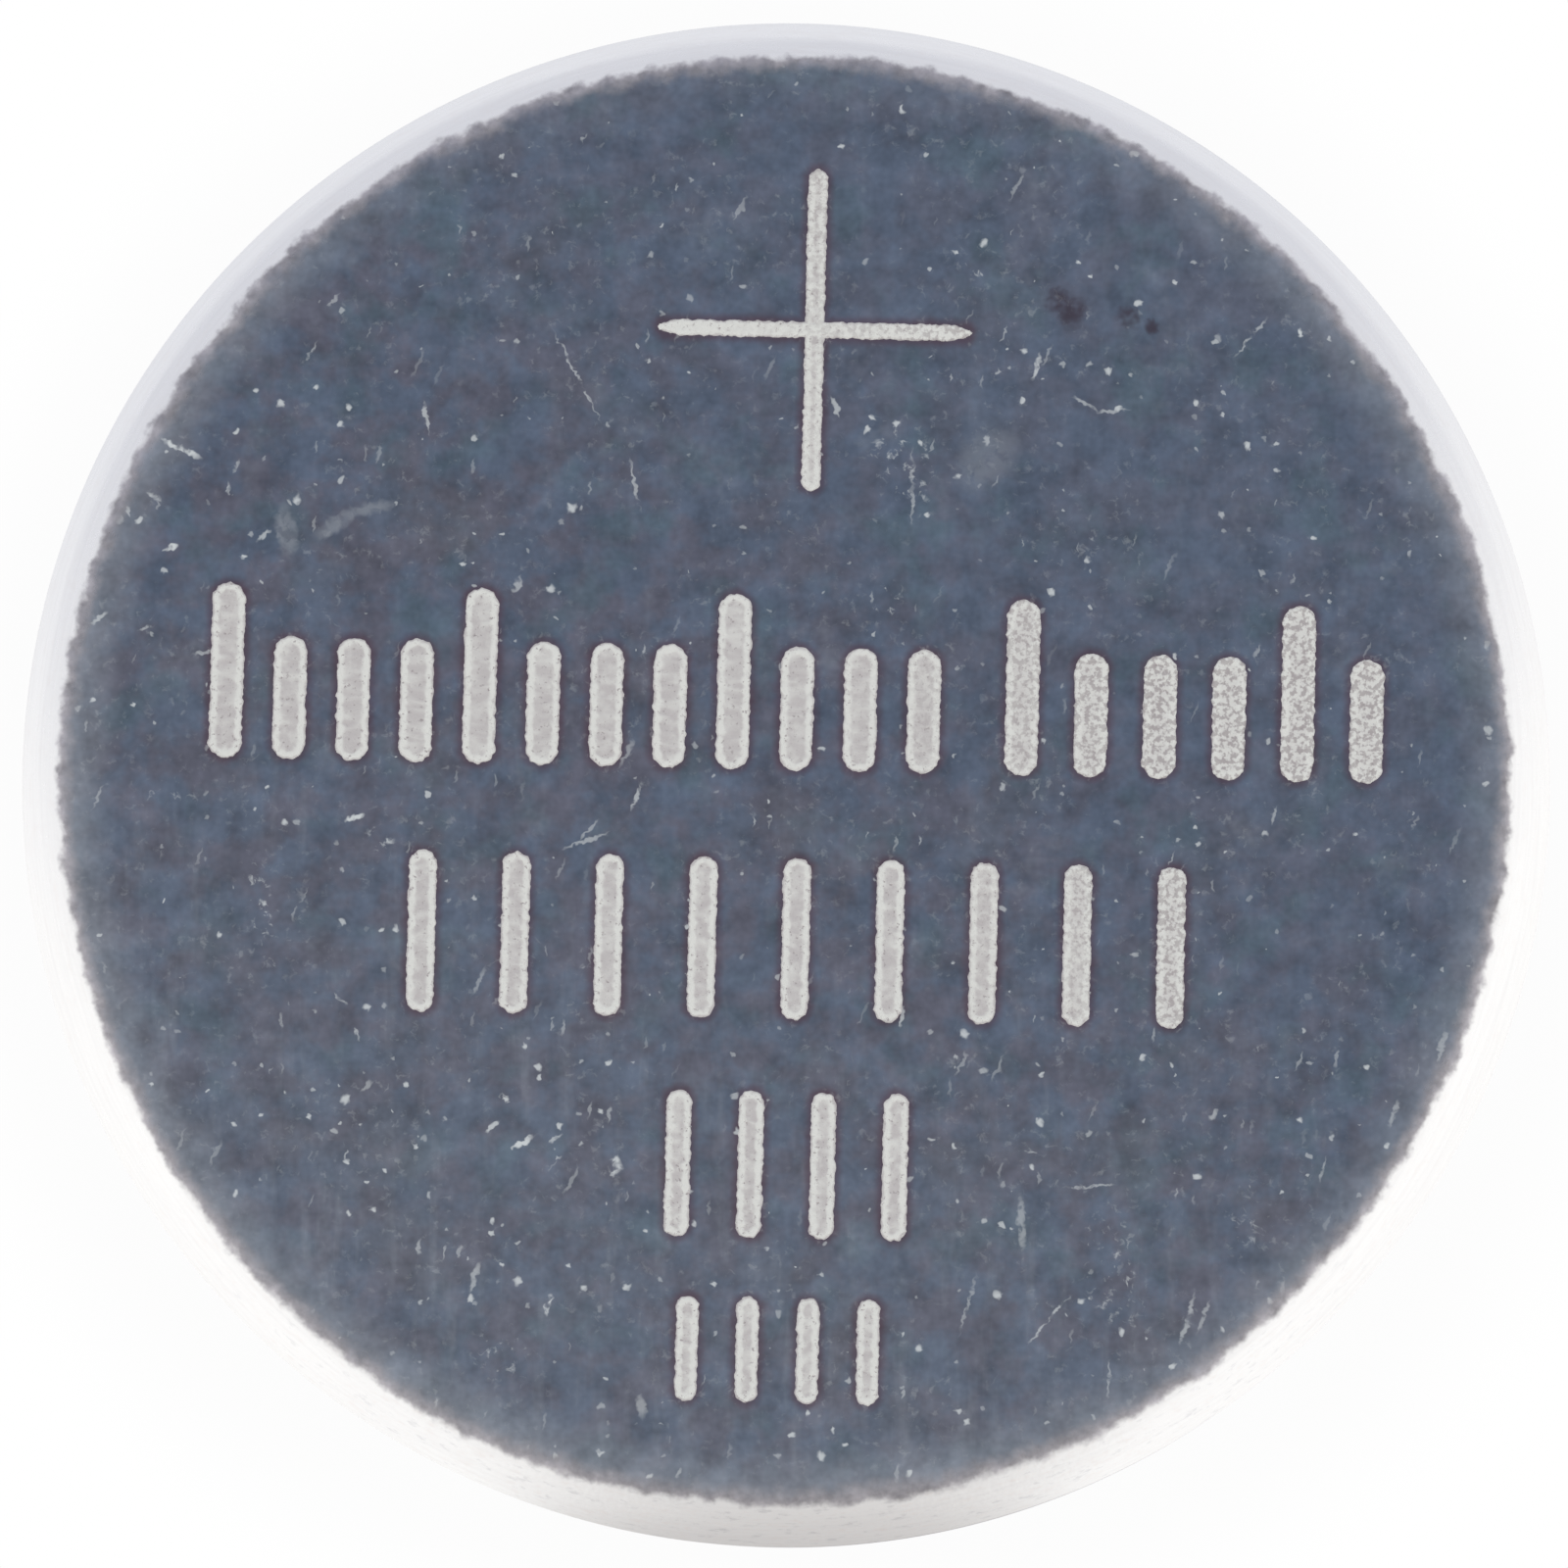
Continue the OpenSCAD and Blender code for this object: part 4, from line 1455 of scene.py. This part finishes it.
@dataclass
class ElectrodeStack:
    """What the sealed shells hold: pellet, collector ring, separator and lithium disc."""

    sizes: CellSizes

    def build(self) -> None:
        """Builds the four pieces from the cap upwards."""
        size = self.sizes
        lithium_r = size.neck_r - size.cap_wall - size.cap_bend_r - size.lithium_gap
        self.turn("lithium_disc", "lithium_anode", Slot.LITHIUM,
                  Pressed("lithium", srgb(196, 198, 202), srgb(150, 152, 158), 6.0, 0.004, 0.35, 0.9),
                  [(0.0, size.cap_wall), (lithium_r, size.cap_wall),
                   (lithium_r, size.cap_wall + size.lithium_t), (0.0, size.cap_wall + size.lithium_t)])
        self.build_separator()
        self.build_pellet()
        self.build_collector()

    def turn(self, name: str, node: str, slot: Slot, finish: "Pressed | Fleece | CapSteel",
             corners: list[tuple[float, float]], ring: bool = False) -> None:
        """Turns a straight-sided section.

        Args:
            name: The piece's name.
            node: The CAD node that it replaces.
            slot: Its material slot.
            finish: Its finish.
            corners: Radius and height of each corner.
            ring: Whether the section is closed and clear of the axis.
        """
        pen = SectionPen(*corners[0])
        for corner in corners[1:]:
            pen.run_to(*corner)
        if ring:
            pen.close()
        finish_piece(name, pen.turned(), slot, finish.make(), node)

    def build_separator(self) -> None:
        """Builds the shallow cup of fleece under the pellet."""
        size = self.sizes
        low = size.cap_wall + size.lithium_t
        rim_r = size.pellet_r + size.separator_t
        rim_z = size.pellet_z + size.separator_rim
        self.turn("separator_cup", "separator", Slot.SEPARATOR, Fleece(),
                  [(0.0, low), (rim_r, low), (rim_r, rim_z), (size.pellet_r, rim_z),
                   (size.pellet_r, size.pellet_z), (0.0, size.pellet_z)])

    def build_pellet(self) -> None:
        """Builds the pellet with its rebate for the collector's flange."""
        size = self.sizes
        rebate_r = size.pellet_r + size.collector_t - size.collector_flange
        rebate_z = size.floor_z - size.collector_t
        self.turn("pellet_body", "cathode_pellet", Slot.PELLET,
                  Pressed("pressed_oxide", srgb(42, 42, 44), srgb(74, 73, 74), 16.0, 0.01, 0.72),
                  [(0.0, size.pellet_z), (size.pellet_r - size.pellet_chamfer, size.pellet_z),
                   (size.pellet_r, size.pellet_z + size.pellet_chamfer), (size.pellet_r, rebate_z),
                   (rebate_r, rebate_z), (rebate_r, size.floor_z), (0.0, size.floor_z)])

    def build_collector(self) -> None:
        """Builds the L-section ring round the pellet's upper edge."""
        size = self.sizes
        outer = size.pellet_r + size.collector_t
        inner = outer - size.collector_flange
        self.turn("collector_ring", "cathode_collector", Slot.COLLECTOR, CapSteel("satin_collector_steel"),
                  [(inner, size.floor_z), (inner, size.floor_z - size.collector_t),
                   (size.pellet_r, size.floor_z - size.collector_t),
                   (size.pellet_r, size.floor_z - size.collector_band),
                   (outer, size.floor_z - size.collector_band), (outer, size.floor_z)], ring=True)


# Stage, light and camera

@dataclass(frozen=True)
class Studio:
    """A white table under soft light, and a camera nearly straight above it."""

    table_r: float = 1.2
    table_gap: float = 0.004
    light_hole_r: float = 5.6
    tilt: float = 4.5
    distance: float = 75.0
    frame_px: float = 1600.0
    outline_px: float = 779.5
    lean: float = 1.2
    aim_x: float = -0.008
    aim_y: float = -0.022
    shadow_r: tuple[float, float] = (6.0, 7.4)
    white: Colour = (1.0, 1.0, 1.0)
    sides: Colour = (1.08, 1.07, 1.05)
    window: Colour = (0.70, 0.71, 0.76)
    table_window: Colour = (0.82, 0.83, 0.87)
    viewer: Colour = (0.62, 0.60, 0.585)
    overhead: Colour = (0.60, 0.60, 0.60)
    overhead_edge: tuple[float, float] = (0.66, 0.93)
    background_share: float = 0.94

    def build_table(self) -> None:
        """Lays the table, white to the camera and in reflections, with the cell's soft shadow on it.

        From below it isn't seen, and light comes through it under the cell.
        """
        mesh = bmesh.new()
        bmesh.ops.create_circle(mesh, cap_ends=True, segments=64, radius=self.table_r)
        bmesh.ops.translate(mesh, vec=(0.0, 0.0, -self.table_gap * MM), verts=mesh.verts)
        data = bpy.data.meshes.new("table")
        mesh.to_mesh(data)
        mesh.free()
        table = bpy.data.objects.new("table", data)
        bpy.context.scene.collection.objects.link(table)
        graph = new_graph("white_table")
        x, y, _ = graph.parts(graph.place())
        radius = (x * x + y * y) ** 0.5
        rays = graph.add("ShaderNodeLightPath").socket.node.outputs
        camera, glossy, through = (Field(graph, rays[name]) for name in
                                   ("Is Camera Ray", "Is Glossy Ray", "Is Transmission Ray"))
        paper = graph.add("ShaderNodeBsdfDiffuse", inputs={"Color": srgb(250, 250, 250)})
        colour = graph.mix(camera, self.around(graph, x, y, self.table_window), self.white)
        shine = graph.add("ShaderNodeEmission", inputs={"Color": colour})
        share = self.background_share + camera * radius.ease(*self.shadow_r) * (1 - self.background_share)
        shown = graph.add("ShaderNodeMixShader",
                          inputs={0: camera.most(glossy).most(through) * share, 1: paper, 2: shine})
        below = graph.add("ShaderNodeNewGeometry", output="Backfacing")
        open_share = below.most(radius.ease(self.light_hole_r, self.light_hole_r - 0.3) * (1.0 - camera))
        seen = graph.add("ShaderNodeMixShader",
                         inputs={0: open_share, 1: shown, 2: graph.add("ShaderNodeBsdfTransparent")})
        graph.add("ShaderNodeOutputMaterial", inputs={"Surface": seen})
        data.materials.append(graph.owner)

    def around(self, graph: Graph, x: Field, y: Field, window: Colour) -> Field:
        """The light that comes from a side: dimmer from the window behind and from the viewer.

        Args:
            graph: The nodes of the world or of the table.
            x: The side's x, at any distance.
            y: The side's y.
            window: The colour from behind.

        Returns:
            The light's colour.
        """
        level = (x * x + y * y + 1e-6) ** 0.5
        right, back = x / level, y / level
        colour = graph.mix((back - 0.12 * right).ease(-0.20, 0.75), self.sides, window)
        return graph.mix((-1.0 * back).ease(0.90, 1.0), colour, self.viewer)

    def build_sky(self) -> None:
        """Lights the cell from all round, less from overhead, and shows white behind it."""
        world = bpy.data.worlds.new("soft_sky")
        bpy.context.scene.world = world
        graph = Graph(world)
        towards = graph.add("ShaderNodeTexCoord", output="Generated")
        x, y, z = graph.parts(towards)
        colour = self.around(graph, x, y, self.window)
        colour = graph.mix(z.ease(*self.overhead_edge), colour, self.overhead)
        camera = graph.add("ShaderNodeLightPath", output="Is Camera Ray")
        shown = graph.mix(camera, colour, self.white)
        light = graph.add("ShaderNodeBackground", inputs={"Color": shown, "Strength": 1.0})
        graph.add("ShaderNodeOutputWorld", inputs={"Surface": light})

    def build_camera(self, sizes: CellSizes) -> None:
        """Sets the camera up so that the cell's outline has the photograph's place and size.

        Args:
            sizes: The cell's sizes.
        """
        data = bpy.data.cameras.new("camera")
        camera = bpy.data.objects.new("camera", data)
        bpy.context.scene.collection.objects.link(camera)
        widest_z = sizes.cell_h - sizes.can_corner_r
        frame_w = 2 * sizes.can_r * self.frame_px / (2 * self.outline_px)
        data.sensor_width = 36.0
        data.lens = data.sensor_width * self.distance / frame_w
        data.clip_start = 0.1 * self.distance * MM
        data.clip_end = 4.0
        turn = Euler((math.radians(self.tilt), math.radians(self.lean), 0.0))
        aim = Vector((self.aim_x, self.aim_y, widest_z))
        camera.location = (aim + turn.to_matrix() @ Vector((0.0, 0.0, self.distance))) * MM
        camera.rotation_euler = turn
        bpy.context.scene.camera = camera

    def build(self, sizes: CellSizes) -> None:
        """Builds the table, the light and the camera."""
        self.build_table()
        self.build_sky()
        self.build_camera(sizes)
        bpy.context.scene.view_settings.view_transform = "Standard"


def main() -> None:
    """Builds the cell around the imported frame, then its stage."""
    logging.basicConfig(level=logging.INFO, format="%(name)s: %(message)s")
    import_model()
    sizes = CellSizes.from_frame()
    marking = Marking()
    Studio().build(sizes)
    shells = Shells(sizes)
    shells.build_can(DrawnSteel().make(sizes, marking))
    shells.build_cap(CapSteel().make())
    shells.build_gasket(Moulded().make())
    ElectrodeStack(sizes).build()
    EtchedMarks(sizes, marking, EtchedSteel()).build()


if __name__ == "__main__":
    main()
